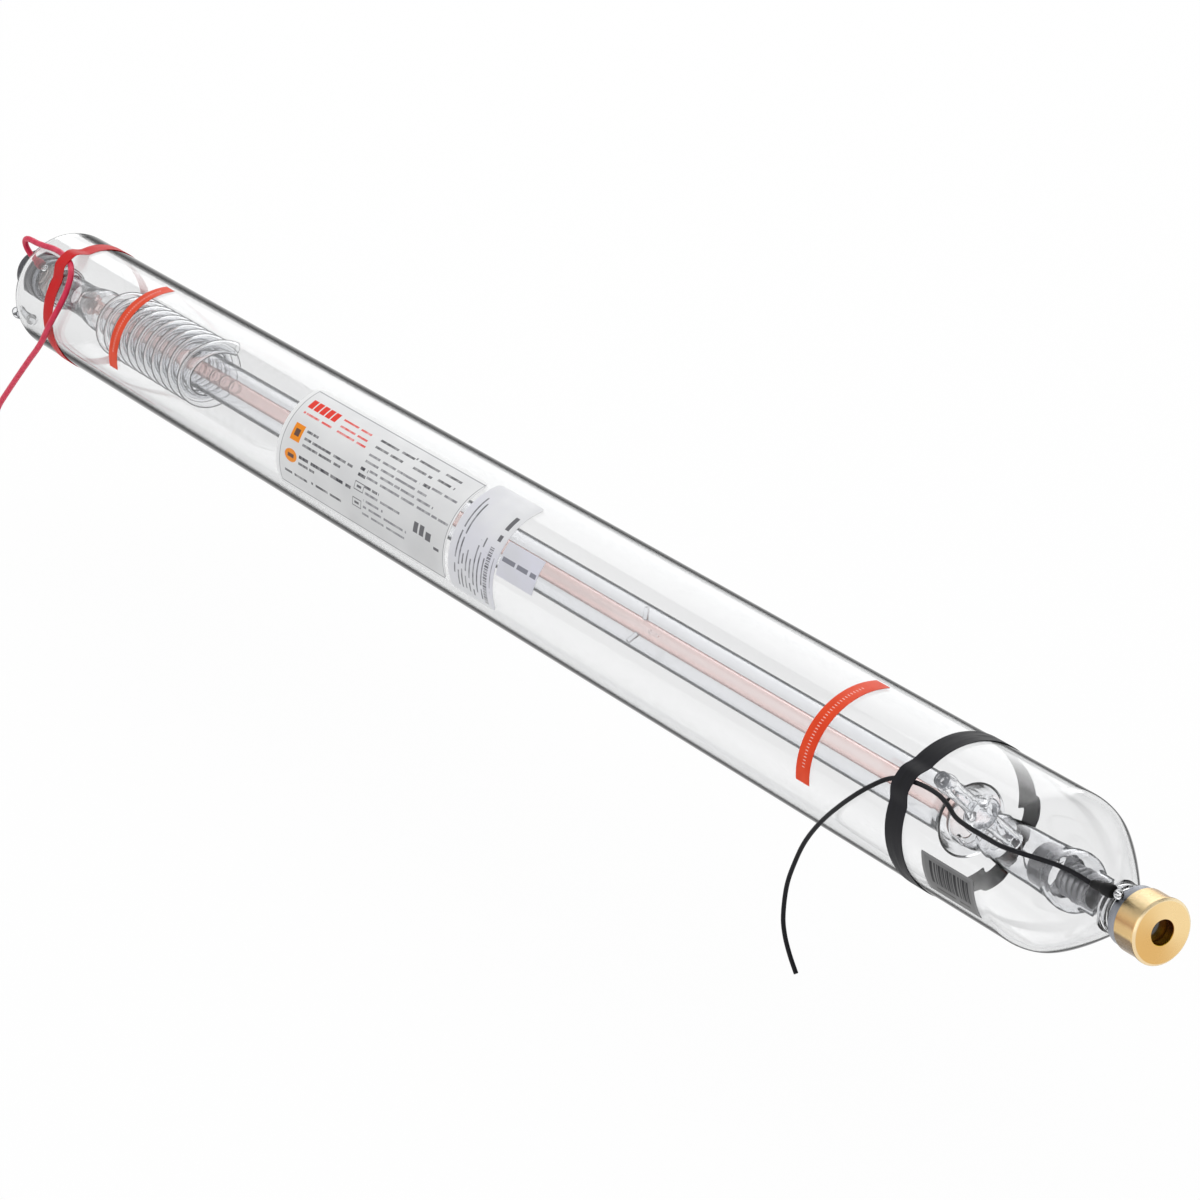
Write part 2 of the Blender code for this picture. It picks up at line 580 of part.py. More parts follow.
def make_nipples():
    """The two hose nipples, and the branch that leads the water in from the front one."""
    tip = GLASS_R + NIPPLE_LONG
    r, bore = NIPPLE_R, NIPPLE_BORE_R
    outer = [
        (36.5, 8.6), (40.3, 7.3), (41.4, 6.2), (43.5, 5.3), (46.0, r + 0.5), (49.0, r),
        (tip - 12, r), (tip - 9, r + 0.4), (tip - 6.5, r + 0.9), (tip - 4.5, r + 0.6), (tip - 2, r - 0.2),
        (tip - 0.4, r - 0.5), (tip, r - 0.9),
    ]
    centre = round_axis(OUTLET_BACK, OUTLET_ANGLE, 0)
    away = round_axis(OUTLET_BACK, OUTLET_ANGLE, 1)
    outlet = solid("outlet_nipple", along(centre, away, outer + [(tip, bore), (36.5, bore)], 20), glass("nipple_glass"))
    body = Vector((30.0, 0, 0))
    bored(outlet, cutter("glass_outside", rod(centre - body, centre + body, GLASS_R + FIT, 96)))
    wall = GLASS_R - GLASS_WALL - FIT
    branch = along(centre, away, [(10, r + 0.4), (15, r + 0.4), (19, r), (30, r), (34, r + 0.8), (40, r + 3.0),
                                  (40, bore), (10, bore)], 16)
    inner = solid("outlet_branch", branch, glass("branch_glass"))
    bored(inner, cutter("glass_inside", rod(centre - body, centre + body, wall, 96)), "INTERSECT")
    bored(inner, cutter("chamber_outside", rod(centre - body, centre + body, CHAMBER_BODY_R + 0.3 + FIT, 56)))
    root = round_axis(REAR_WALL_BACK + FIT, INLET_ANGLE, INLET_AXIS_R)
    end = root - Vector((INLET_LONG, 0, 0))
    r, bore, long = INLET_R, NIPPLE_BORE_R - 0.6, INLET_LONG
    inlet = along(root, end, [
        (0, r + 0.6), (0.8, r + 0.3), (2.5, r), (long - 10, r - 0.2), (long - 7, r + 0.3), (long - 5, r + 0.5),
        (long - 3, r + 0.2), (long - 0.6, r - 0.5), (long, r - 0.9), (long, bore), (0, bore),
    ], 18)
    solid("inlet_nipple", inlet, glass("inlet_glass"))


BLACK_BOOT = (round_axis(22.6, 51.0, 17.9), round_axis(36.0, 45.2, 19.4))
RED_BOOT = (round_axis(REAR_WALL_BACK + 4.9, 49.0, 22.2), round_axis(REAR_WALL_BACK + 10.0, 49.6, 25.8))


def make_boot(name, start, end, lead_r, made):
    """A shrunk sleeve over the joint of pin and lead, thicker at the pin."""
    long = (end - start).length
    solid(name, along(start, end, [
        (0, 0), (0, BOOT_R - 0.6), (0.6, BOOT_R), (long * 0.42, BOOT_R - 0.1), (long * 0.5, lead_r + 1.3),
        (long - 0.8, lead_r + 0.9), (long, lead_r + 0.5), (long, 0),
    ], 16), made)


def make_terminals():
    """The sealed pins that the leads join, each in a bead of glass, and their boots."""
    for name, boot, long in (("cathode", BLACK_BOOT, 5.3), ("anode", RED_BOOT, 3.6)):
        start, end = boot
        way = (start - end).normalized()
        pin = along(start + way * 0.3, start + way * 4, [
            (0, 0), (0, PIN_R), (long * 0.13, PIN_R), (long * 0.13, BEAD_R * 0.55), (long * 0.26, BEAD_R * 0.85),
            (long * 0.45, BEAD_R), (long * 0.66, BEAD_R * 0.95), (long * 0.87, BEAD_R * 0.7),
            (long * 0.98, BEAD_R * 0.3), (long, 0),
        ], 14)
        solid(f"{name}_terminal", pin, glass(f"{name}_bead_glass"))
    make_boot("cathode_boot", *BLACK_BOOT, BLACK_LEAD_R, finish("black_shrink", (0.03, 0.03, 0.032), 0.6))
    make_boot("anode_boot", *RED_BOOT, RED_LEAD_R, finish("red_shrink", (0.55, 0.03, 0.06), 0.6))


# Routes of the leads, chosen by hand: (back, angle, radius) over the glass, then (back, y, z) where they hang.
BLACK_OVER_GLASS = [
    (41, 44.0, 22.0), (46, 42.6, 25.4), (52, 40.2, 29.4), (58, 37.2, 33.2), (64, 34.6, 37.0), (70, 32.8, 40.0),
    (77, 31.5, 41.6), (88, 31.2, 41.6), (102, 31.3, 41.6), (114, 32.6, 41.6), (124, 37.2, 41.6),
    (134.9, 39.7, 41.6), (150.3, 39.0, 41.6), (166.5, 34.2, 41.6), (178.5, 23.1, 41.6), (194.8, 4.7, 41.8),
]
BLACK_HANGING = [
    (215.3, -42.2, -14.4), (230.1, -42.4, -30.9), (239.6, -42.6, -46.7), (245.6, -42.8, -60.7),
    (248.0, -43.0, -76.7), (246.6, -43.0, -86.5), (242.0, -43.0, -95.5), (235.5, -43.0, -104.0),
]
# those of the red lead count from the rear wall
RED_OVER_GLASS = [(REAR_WALL_BACK + back, angle, radius) for back, angle, radius in (
    (14.2, 51.0, 29.7), (15.4, 52.8, 34.2), (14.2, 54.6, 38.6), (11.0, 56.2, 41.9), (6.5, 57.3, 43.1),
    (0.0, 58.0, 42.9), (-6.5, 58.3, 42.7), (-16.0, 59.6, 42.6), (-25.0, 61.2, 42.6), (-34.0, 61.8, 42.6),
    (-43.0, 61.2, 42.6), (-53.0, 59.4, 42.6), (-64.0, 55.2, 42.6), (-74.5, 46.3, 42.6), (-80.7, 33.5, 42.6),
    (-80.1, 20.0, 42.8),
)]
RED_HANGING = [(REAR_WALL_BACK + back, y, z) for back, y, z in (
    (-71.3, -43.4, 1.3), (-53.3, -43.6, -17.6), (-33.8, -43.8, -33.7), (-15.7, -44.0, -48.8),
    (2.6, -44.0, -64.1), (20.5, -44.0, -79.8), (34.5, -44.0, -97.0), (41.0, -44.0, -117.0),
    (43.5, -44.0, -138.0), (44.0, -44.0, -158.0),
)]


def route(boot, over_glass, hanging):
    start, end = boot
    way = (end - start).normalized()
    hung = [Vector((x_at(back), y, z)) for back, y, z in hanging]
    return [end + way * 0.9, end + way * 2.2] + [round_axis(*point) for point in over_glass] + hung


def make_leads():
    lead("black_lead", route(BLACK_BOOT, BLACK_OVER_GLASS, BLACK_HANGING), BLACK_LEAD_R, 5.6,
         finish("black_silicone", (0.025, 0.025, 0.028), 0.5))
    lead("red_lead", route(RED_BOOT, RED_OVER_GLASS, RED_HANGING), RED_LEAD_R, 6.5,
         finish("red_silicone", (0.68, 0.05, 0.10), 0.45))


def crossing(over_glass, front, rear, lead_r):
    """The middle and the half width in degrees of the stretch where a lead passes under a tape."""
    laid = sorted((back, angle) for back, angle, radius in over_glass if radius > GLASS_R)
    backs, turns = zip(*laid)
    passed = np.interp(np.linspace(front, rear, 9), backs, turns)
    half = (passed.max() - passed.min()) / 2 + math.degrees((lead_r + FIT) / GLASS_R)
    return (passed.max() + passed.min()) / 2, half


def make_tapes():
    """The two tape rings that hold the leads down, each lifted to a low tent where a lead passes under it."""
    around = np.linspace(0, 360, 72, endpoint=False)
    low = GLASS_R + FIT

    def black_middle(angle):
        return BLACK_TAPE_BACK

    def red_middle(angle):
        return RED_TAPE_BACK - RED_TAPE_LEAN * math.cos(math.radians(angle))

    for name, middle, wide, over_glass, lead_r, slope, made in (
        ("black_tape", black_middle, BLACK_TAPE_WIDE, BLACK_OVER_GLASS, BLACK_LEAD_R, 13.0,
         finish("black_tape_film", (0.04, 0.04, 0.042), 0.5)),
        ("red_tape", red_middle, RED_TAPE_WIDE, RED_OVER_GLASS, RED_LEAD_R, 16.0,
         finish("red_tape_film", (0.62, 0.02, 0.02), 0.45)),
    ):
        half = wide / 2
        ridge, plateau = crossing(over_glass, middle(50) - half, middle(50) + half, lead_r)
        wrapped(name, lambda a: middle(a) - half, lambda a: middle(a) + half, around,
                lambda a: low + tape_lift(a, ridge, plateau, slope, 2 * lead_r + 0.6), TAPE_THICK, made, closed=True)


def make_labels():
    """The support strips and the labels on the camera side of the glass."""
    orange = (0.80, 0.12, 0.03)
    half = STRIP_WIDE / 2
    label("front_support_strip", SUPPORT_BACK - half, SUPPORT_BACK + half, -4, 99, finish("front_strip_film", orange),
          corner=0.4)
    label("rear_support_strip", REAR_STRIP_BACK - half, REAR_STRIP_BACK + half, -8, 92,
          finish("rear_strip_film", orange), corner=0.4)
    label("rating_label", RATING_FRONT, RATING_FRONT + RATING_LONG, -19, 75.5,
          finish("silver_film", (0.62, 0.63, 0.64), 0.35, 0.6), corner=7)
    label("certificate_label", CERTIFICATE_FRONT, CERTIFICATE_FRONT + CERTIFICATE_LONG, -19.5, 80.5,
          finish("white_film", (0.72, 0.73, 0.76), 0.4, 0.2))
    label("side_up_label", SIDE_UP_FRONT, SIDE_UP_FRONT + SIDE_UP_LONG, 13, 41.5,
          finish("pale_film", (0.78, 0.77, 0.80), 0.4, 0.2), corner=0.8)
    label("code_label", CODE_FRONT, CODE_FRONT + CODE_LONG, -30.5, 0, finish("grey_film", (0.12, 0.12, 0.12), 0.5),
          corner=0.8)


clear_scene()
make_envelope()
make_jacket()
make_discharge_tube()
make_cathode_chamber()
make_anode_chamber()
make_return_coil()
make_output_head()
make_mirror_head()
make_electrodes()
make_nipples()
make_terminals()
make_leads()
make_tapes()
make_labels()
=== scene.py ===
"""The looks of a sealed glass laser tube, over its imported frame.

X runs along the optical axis towards the output head and Z is up. Places along the tube are given as
distances in millimetres back from the head's front face, and places round it as angles up from -Y.
"""

import math

import bpy
import numpy as np
from mathutils import Matrix, Vector


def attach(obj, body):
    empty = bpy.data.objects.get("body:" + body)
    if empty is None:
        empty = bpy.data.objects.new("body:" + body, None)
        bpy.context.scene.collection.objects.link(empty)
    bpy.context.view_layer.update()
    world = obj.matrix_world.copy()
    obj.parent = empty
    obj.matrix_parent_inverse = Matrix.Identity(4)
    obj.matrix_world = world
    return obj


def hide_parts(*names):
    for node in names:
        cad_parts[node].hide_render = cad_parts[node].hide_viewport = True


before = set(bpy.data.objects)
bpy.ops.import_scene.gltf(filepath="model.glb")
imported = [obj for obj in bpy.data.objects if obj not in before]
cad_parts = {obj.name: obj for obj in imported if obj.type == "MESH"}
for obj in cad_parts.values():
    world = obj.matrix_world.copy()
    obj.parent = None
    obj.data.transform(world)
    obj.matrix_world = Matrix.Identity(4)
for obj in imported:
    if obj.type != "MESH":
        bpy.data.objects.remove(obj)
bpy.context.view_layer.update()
bpy.ops.object.select_all(action="DESELECT")


# Camera
# A long lens that looks along the tube from its output end, a little from above, as the tube was
# photographed.

LOOK_FROM = Vector((1.71789, -1.15971, 0.84060))
LOOK_ALONG = Vector((-0.81069348, 0.47429075, -0.34325553))
LOOK_RIGHT = Vector((0.5049718, 0.86313584, 0.0))
LOOK_UP = Vector((-0.29627615, 0.17333436, 0.93924206))

eye = bpy.data.cameras.new("camera")
eye.sensor_width = 36.0
eye.lens = 135.96
eye.clip_start = 0.05
eye.clip_end = 60.0
camera = bpy.data.objects.new("camera", eye)
camera.matrix_world = Matrix((LOOK_RIGHT, LOOK_UP, -LOOK_ALONG)).transposed().to_4x4()
camera.location = LOOK_FROM
bpy.context.scene.collection.objects.link(camera)
bpy.context.scene.camera = camera
bpy.context.scene.view_settings.view_transform = "Standard"
bpy.context.scene.cycles.max_bounces = 48
bpy.context.scene.cycles.transmission_bounces = 48
bpy.context.scene.cycles.transparent_max_bounces = 32


# Studio
# White paper under and behind the tube, three big soft lamps, and a dim ceiling. Clear glass shows that
# ceiling along its edges, and together with the dark outline painted into the glass finishes this draws its
# outline on a white ground.

WHITE = (1.0, 1.0, 1.0)
CEILING_SHADE = (0.08, 0.083, 0.088)
CEILING_EDGE = (0.52, 0.70)
ROOM_LIGHT = 0.80
PAPER_SHADE = (0.86, 0.86, 0.86)
PAPER_GLOW = 0.965
PAPER_Z = -0.162
SOFTBOXES = (
    ("key_lamp", (-0.7, 0.1, 2.6), (-0.4, 0.0, 0.0), 3.0, 4.0, 27),
    ("side_lamp", (1.4, -2.6, 1.1), (-0.2, 0.0, 0.0), 2.4, 2.4, 14),
    ("back_lamp", (-2.5, 1.4, 1.5), (-0.4, 0.0, 0.0), 2.4, 2.4, 18),
)


class Value:
    """A socket of a node tree. Arithmetic on it adds Math nodes."""

    def __init__(self, nodes, socket):
        self.nodes = nodes
        self.socket = socket

    def math(self, operation, *others):
        return self.nodes.node("Math", {"operation": operation}, dict(enumerate((self, *others))))

    def __add__(self, other):
        return self.math("ADD", other)

    def __sub__(self, other):
        return self.math("SUBTRACT", other)

    def __mul__(self, other):
        return self.math("MULTIPLY", other)

    def __truediv__(self, other):
        return self.math("DIVIDE", other)

    def __pow__(self, other):
        return self.math("POWER", other)

    def __rsub__(self, other):
        return self.nodes.node("Math", {"operation": "SUBTRACT"}, {0: other, 1: self})

    __radd__ = __add__
    __rmul__ = __mul__

    def ramp(self, low, high, start=0.0, end=1.0):
        return self.nodes.node("MapRange", {"interpolation_type": "SMOOTHSTEP"}, {
            "Value": self, "From Min": low, "From Max": high, "To Min": start, "To Max": end})

    def above(self, edge, soft=1e-4):
        """0 below the edge and 1 above it, over a short ramp."""
        return self.ramp(edge - soft / 2, edge + soft / 2)

    def between(self, low, high, soft=1e-4):
        return self.above(low, soft) * (1.0 - self.above(high, soft))

    def colours(self, *stops):
        """A colour ramp over (place, colour) stops."""
        return self.nodes.node("ValToRGB", {"stops": stops}, {0: self})


class Nodes:
    """One node tree. Every node but plain arithmetic is asked for by its type, settings and sockets."""

    def __init__(self, tree):
        self.tree = tree

    def node(self, kind, settings=(), sockets=(), out=0):
        made = self.tree.nodes.new("ShaderNode" + kind)
        for name, value in dict(settings).items():
            if name == "stops":
                elements = made.color_ramp.elements
                while len(elements) < len(value):
                    elements.new(0.5)
                for element, (place, colour) in zip(elements, value):
                    element.position = place
                    element.color = (*colour, 1.0)
            else:
                setattr(made, name, value)
        for name, value in dict(sockets).items():
            self.feed(made.inputs[name], value)
        return Value(self, made.outputs[out]) if made.outputs else None

    def feed(self, slot, value):
        if isinstance(value, Value):
            self.tree.links.new(value.socket, slot)
        elif isinstance(value, tuple):
            slot.default_value = (*value, 1.0)[:len(slot.default_value)]
        else:
            slot.default_value = value

    def seen(self):
        """1 for a ray from the camera or from glass or metal, and 0 for light on a plain surface."""
        straight, mirrored, through = [self.node("LightPath", out=f"Is {kind} Ray")
                                       for kind in ("Camera", "Glossy", "Transmission")]
        return straight.math("MAXIMUM", mirrored).math("MAXIMUM", through)


world = bpy.data.worlds.new("studio")
bpy.context.scene.world = world
world.use_nodes = True
world.node_tree.nodes.clear()
sky = Nodes(world.node_tree)
height = sky.node("SeparateXYZ", {}, {0: sky.node("TexCoord", out="Generated")}, out="Z")
ceiling = height.ramp(*CEILING_EDGE).colours((0.0, WHITE), (1.0, CEILING_SHADE))
round_about = sky.node("MixShader", {}, {
    0: sky.seen(), 1: sky.node("Background", {}, {"Strength": ROOM_LIGHT}),
    2: sky.node("Background", {}, {"Color": ceiling})})
behind = sky.node("MixShader", {}, {
    0: sky.node("LightPath", out="Is Camera Ray"), 1: round_about,
    2: sky.node("Background", {}, {"Color": WHITE})})
sky.node("OutputWorld", {}, {"Surface": behind})

bpy.ops.mesh.primitive_plane_add(size=14.0, location=(-0.4, 0.0, PAPER_Z))
floor = bpy.context.object
floor.name = "floor"
paper = bpy.data.materials.new("floor_paper")
paper.use_nodes = True
paper.node_tree.nodes.clear()
paper_nodes = Nodes(paper.node_tree)
lit_paper = paper_nodes.node("MixShader", {}, {
    0: paper_nodes.seen() * PAPER_GLOW, 1: paper_nodes.node("BsdfDiffuse", {}, {"Color": PAPER_SHADE}),
    2: paper_nodes.node("Emission")})
paper_nodes.node("OutputMaterial", {}, {"Surface": lit_paper})
floor.data.materials.append(paper)
floor.select_set(False)

for name, place, aim, wide, long, power in SOFTBOXES:
    softbox = bpy.data.lights.new(name, "AREA")
    softbox.shape = "RECTANGLE"
    softbox.size = wide
    softbox.size_y = long
    softbox.energy = power
    lamp = bpy.data.objects.new(name, softbox)
    lamp.location = place
    lamp.rotation_euler = (Vector(aim) - Vector(place)).to_track_quat("-Z", "Y").to_euler()
    bpy.context.scene.collection.objects.link(lamp)


# Outer vessel
# One long tube of hard glass. The front is blown in to a ridged neck and the rear is closed by a flat wall
# with a short neck, and the metal heads are cemented to the two necks.

MM = 0.001
FIT = 0.3
LENGTH = 1250.0
SUPPORT_BACK = 237.0
GLASS_R = 40.0
GLASS_WALL = 2.3
RIM_R = 9.0
DOME_BACK = 78.0
DOME_END_BACK = 34.0
DOME_END_R = 13.3
SHOULDER_POWER = 1.2
NECK_R = 12.4
NECK_BORE_R = 10.8
RIDGES = ((31.0, 0.5), (26.6, 0.9))
REAR_NECK_R = 13.0
REAR_NECK_LONG = 17.9
HEAD_LONG = 15.7
MIRROR_HEAD_LONG = 22.4
RING_LONG = 5.6
NECK_FRONT = HEAD_LONG + RING_LONG + 2 * FIT
REAR_NECK_BACK = LENGTH - MIRROR_HEAD_LONG - RING_LONG - 2 * FIT
REAR_WALL_BACK = REAR_NECK_BACK - REAR_NECK_LONG
VESSEL_SIDES = 128
GLASS_IOR = 1.47
CLEAR_SHINE = 0.12
GLASS_GLOW = 0.06


class Finish(Nodes):
    """A material with one Principled shader, whose sockets take values or colours by name."""

    def __init__(self, name, **settings):
        self.material = bpy.data.materials.new(name)
        self.material.use_nodes = True
        super().__init__(self.material.node_tree)
        self.shader = self.tree.nodes["Principled BSDF"]
        for socket, value in settings.items():
            self.set(socket.replace("_", " "), value)

    def set(self, socket, value):
        self.feed(self.shader.inputs[socket], value)

    def place(self):
        """(x, y, z) on the object, in metres."""
        where = self.node("TexCoord", out="Object")
        return [self.node("SeparateXYZ", {}, {0: where}, out=axis) for axis in "XYZ"]

    def unrolled(self):
        """(back, angle, radius): millimetres back from the head, degrees up from -Y, and millimetres."""
        x, y, z = self.place()
        back = SUPPORT_BACK - x / MM
        angle = z.math("ARCTAN2", y * -1.0) * (180.0 / math.pi)
        return back, angle, (y * y + z * z).math("SQRT") / MM

    def noise(self, scale, detail=3.0, stretch=(1.0, 1.0, 1.0)):
        spread = self.node("Mapping", {}, {"Vector": self.node("TexCoord", out="Object"), "Scale": stretch})
        return self.node("TexNoise", {}, {"Vector": spread, "Scale": scale, "Detail": detail})

    def grazing(self):
        """0 where the surface faces the eye, and 1 at its outline."""
        return self.node("LayerWeight", {}, {"Blend": 0.5}, out="Facing")

    def mix(self, share, first, second):
        return self.node("Mix", {"data_type": "RGBA"}, {0: share, 6: first, 7: second}, out=2)

    def bump(self, height, distance, strength=1.0):
        self.set("Normal", self.node("Bump", {}, {
            "Height": height, "Distance": distance, "Strength": strength}))


def glass(name, tint=(0.89, 0.892, 0.895), soft=((0.60, 0.61, 0.615), 0.46, 0.78),
          line=((0.06, 0.063, 0.066), 0.77, 0.85), dark=0.85, wave=0.0, glow=None, shine=0.35):
    """Blown glass: clear where it faces the eye, with painted shade that is greyer at a slant and a painted
    dark outline, part dark mirror, which stand in for the dark room that glass shows at its edges. The soft
    shade and the line are each a colour, the slant where it starts and the slant where it is full. A glow,
    if given, is a faint painted light."""
    made = Finish(name, Roughness=0.0, IOR=GLASS_IOR, Transmission_Weight=1.0,
                  Specular_Tint=(shine, shine, shine))
    grazing = made.grazing()
    colour = tint
    # Painted shade: a grey towards the slant and a dark outline, by how the surface faces the eye.
    for shade, start, full in (soft, line):
        colour = made.mix(grazing.ramp(start, full), colour, shade)
    made.set("Base Color", colour)
    # Painted reflection: the outline is partly a dark mirror.
    made.set("Metallic", grazing.ramp(line[1], line[2], 0.0, dark))
    if wave:
        made.bump(made.noise(120.0, 2.0), wave, 0.5)
    # Painted light: a faint glow in the given colour, though the glass is no lamp.
    if glow:
        made.set("Emission Color", glow)
        made.set("Emission Strength", GLASS_GLOW)
    return made.material


def x_at(back):
    return SUPPORT_BACK - back


def lathe(outline, sides, inner=()):
    """Spins an outline of (x, r) points round X. The points numbered in inner are kept in a group."""
    bpy.ops.mesh.primitive_circle_add(vertices=len(outline), fill_type="NOTHING", location=(0, 0, 0))
    thing = bpy.context.object
    for vert, (x, r) in zip(thing.data.vertices, outline):
        vert.co = Vector((x, -r, 0.0)) * MM
    thing.vertex_groups.new(name="inside").add(list(inner), 1.0, "REPLACE")
    bpy.ops.object.mode_set(mode="EDIT")
    bpy.ops.mesh.select_all(action="SELECT")
    bpy.ops.mesh.spin(steps=sides, angle=math.tau, center=(0, 0, 0), axis=(1, 0, 0))
    bpy.ops.object.mode_set(mode="OBJECT")
    return thing


def dress(name, finishes, nodes=(), smooth_angle=40.0):
    """Cleans the piece just modelled and gives it its finishes, the second one on its inner walls."""
    thing = bpy.context.object
    thing.name = name
    thing.data.name = name
    bpy.ops.object.mode_set(mode="EDIT")
    bpy.ops.mesh.select_all(action="SELECT")
    bpy.ops.mesh.remove_doubles(threshold=1e-7)
    bpy.ops.mesh.delete_loose()
    bpy.ops.mesh.select_all(action="SELECT")
    bpy.ops.mesh.normals_make_consistent(inside=False)
    bpy.ops.object.mode_set(mode="OBJECT")
    bpy.ops.object.shade_smooth_by_angle(angle=math.radians(smooth_angle))
    for made in finishes:
        thing.data.materials.append(made)
    inside = {vert.index for vert in thing.data.vertices
              if any(group.weight > 0.5 for group in vert.groups)}
    for face in thing.data.polygons:
        face.material_index = int(len(finishes) > 1 and inside.issuperset(face.vertices))
    thing.vertex_groups.clear()
    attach(thing, "root")
    if nodes:
        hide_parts(*nodes)
    thing.select_set(False)
    return thing


def turned_glass(name, outer, inner, finishes, sides, nodes):
    """A turned glass piece from its outer and inner lines, from rear to front, with a finish for each."""
    outline = outer + inner[::-1]
    lathe([(x_at(back), r) for back, r in outline], sides, range(len(outer), len(outline)))
    return dress(name, finishes, nodes)


def arc(centre, radius, start, end, steps):
    return [(centre[0] + radius * math.cos(math.radians(a)), centre[1] + radius * math.sin(math.radians(a)))
            for a in np.linspace(start, end, steps)]


def soften(points, spacing, reach):
    """The line through points, resampled and averaged over a short reach, as flame-worked glass runs."""
    line = np.array(points, float)
    steps = np.concatenate([[0], np.cumsum(np.hypot(*np.diff(line, axis=0).T))])
    count = max(8, int(steps[-1] / spacing))
    wanted = np.linspace(0, steps[-1], count)
    fine = np.stack([np.interp(wanted, steps, line[:, k]) for k in (0, 1)], axis=1)
    smooth = fine.copy()
    window = max(1, int(reach / spacing))
    for i in range(1, count - 1):
        half = min(window, i, count - 1 - i)
        smooth[i] = fine[i - half:i + half + 1].mean(axis=0)
    return [tuple(p) for p in smooth]


def inset(points, wall):
    """The line one wall inside an outline of (back, r) points that runs from rear to front."""
    line = [Vector(p) for p in points]
    ways = [(b - a).normalized() for a, b in zip(line, line[1:])]
    moved = []
    for before, here, after in zip(ways[:1] + ways, line, ways + ways[-1:]):
        mean = (before + after).normalized()
        moved.append(tuple(here + Vector((-mean.y, mean.x)) * (wall / max(mean.dot(before), 0.6))))
    return moved


def shoulder(back):
    share = (DOME_BACK - back) / (DOME_BACK - DOME_END_BACK)
    return DOME_END_R + (GLASS_R - DOME_END_R) * (1 - share ** SHOULDER_POWER)


def neck_radius(back):
    """The ridged front neck: two rolled rings, and a lip at the metal."""
    lip = 0.5 * math.exp(-((back - NECK_FRONT) / 0.9) ** 2)
    return NECK_R + lip + sum(rise * math.exp(-((back - middle) / 0.95) ** 2) for middle, rise in RIDGES)


rear_end = [(REAR_NECK_BACK, REAR_NECK_R - 0.3), (REAR_NECK_BACK - 0.3, REAR_NECK_R)]
rear_end += [(REAR_WALL_BACK + 2.5, REAR_NECK_R)]
rear_end += arc((REAR_WALL_BACK + 2.5, REAR_NECK_R + 2.5), 2.5, -105, -180, 7)
rear_end += arc((REAR_WALL_BACK - RIM_R, GLASS_R - RIM_R), RIM_R, 0, 90, 20)
dome = [(DOME_BACK + 30, GLASS_R), (DOME_BACK + 4, GLASS_R)]
dome += [(back, shoulder(back)) for back in np.linspace(DOME_BACK, DOME_END_BACK + 1.5, 44)]
neck = [(back, neck_radius(back)) for back in np.linspace(DOME_END_BACK - 1.2, NECK_FRONT, 36)]
dome = soften(dome + neck[:1], 0.9, 6.5)
wall_inside = REAR_WALL_BACK - GLASS_WALL
hollow = [(REAR_NECK_BACK, NECK_BORE_R), (wall_inside + 1.0, NECK_BORE_R), (wall_inside, NECK_BORE_R + 1.0)]
hollow += arc((REAR_WALL_BACK - RIM_R, GLASS_R - RIM_R), RIM_R - GLASS_WALL, 0, 90, 14)
hollow += [p for p in inset(dome, GLASS_WALL) if p[1] > NECK_BORE_R + 0.6]
hollow += [(DOME_END_BACK - 1, NECK_BORE_R + 0.2), (DOME_END_BACK - 3, NECK_BORE_R),
           (NECK_FRONT, NECK_BORE_R)]
vessel_inside = glass("envelope_inside", tint=(0.93, 0.931, 0.933), soft=((0.82, 0.825, 0.83), 0.5, 0.8),
                      line=((0.5, 0.505, 0.51), 0.85, 0.97), dark=0.0, shine=0.1)
turned_glass("outer_glass", rear_end + dome + neck[1:], hollow,
             [glass("envelope_glass", shine=CLEAR_SHINE), vessel_inside], VESSEL_SIDES, ["gas_envelope"])


# Water jacket
# A glass tube round the discharge tube, through which the cooling water runs. Its front end is flared and
# sealed to the front chamber by a ring of glass, and its rear end is closed on the discharge tube.

BORE_TUBE_R = 4.8
JACKET_R = 13.0
JACKET_WALL = 1.4
JACKET_FRONT_BACK = 148.7
JACKET_REAR_BACK = REAR_WALL_BACK - 77.5
FLARE_R = 19.2
FLARE_LONG = 17.0
SEAL_R = 12.95
TUBE_HOLE_R = BORE_TUBE_R + FIT
CHAMBER_SIDES = 96

inner_glass = glass("inner_glass", tint=(0.96, 0.965, 0.975), soft=((0.70, 0.71, 0.74), 0.24, 0.62),
                    line=((0.07, 0.08, 0.09), 0.66, 0.77), dark=0.75)
inner_glass_inside = glass("inner_glass_inside", tint=(0.98, 0.982, 0.985),
                           soft=((0.92, 0.925, 0.93), 0.4, 0.8),
                           line=((0.4, 0.41, 0.42), 0.85, 0.96), dark=0.0)
inner_walls = [inner_glass, inner_glass_inside]
front, rear = JACKET_FRONT_BACK, JACKET_REAR_BACK
flare = [(front + FLARE_LONG + 8, JACKET_R), (front + FLARE_LONG, JACKET_R), (front + 10.0, JACKET_R + 1.1),
         (front + 5.5, JACKET_R + 2.9), (front + 2.6, FLARE_R - 1.6), (front + 1.1, FLARE_R - 0.2)]
lip = [(front + 0.8, FLARE_R), (front + 0.5, FLARE_R - 0.1), (front + 0.4, FLARE_R - 0.5)]
throat = [(front + FLARE_LONG + 8, JACKET_R - JACKET_WALL), (front + FLARE_LONG, JACKET_R - JACKET_WALL),
          (front + 10.3, JACKET_R), (front + 6.0, JACKET_R + 1.7), (front + 3.0, FLARE_R - 2.7),
          (front + 1.6, FLARE_R - 1.2)]
closed_end = soften([(rear, TUBE_HOLE_R), (rear, JACKET_R - 2.6), (rear - 3.5, JACKET_R),
                     (rear - 8.0, JACKET_R)], 0.7, 1.2)
jacket_outer = closed_end + soften(flare, 0.6, 1.5) + lip + [(front + 0.5, 15.5), (front, SEAL_R)]
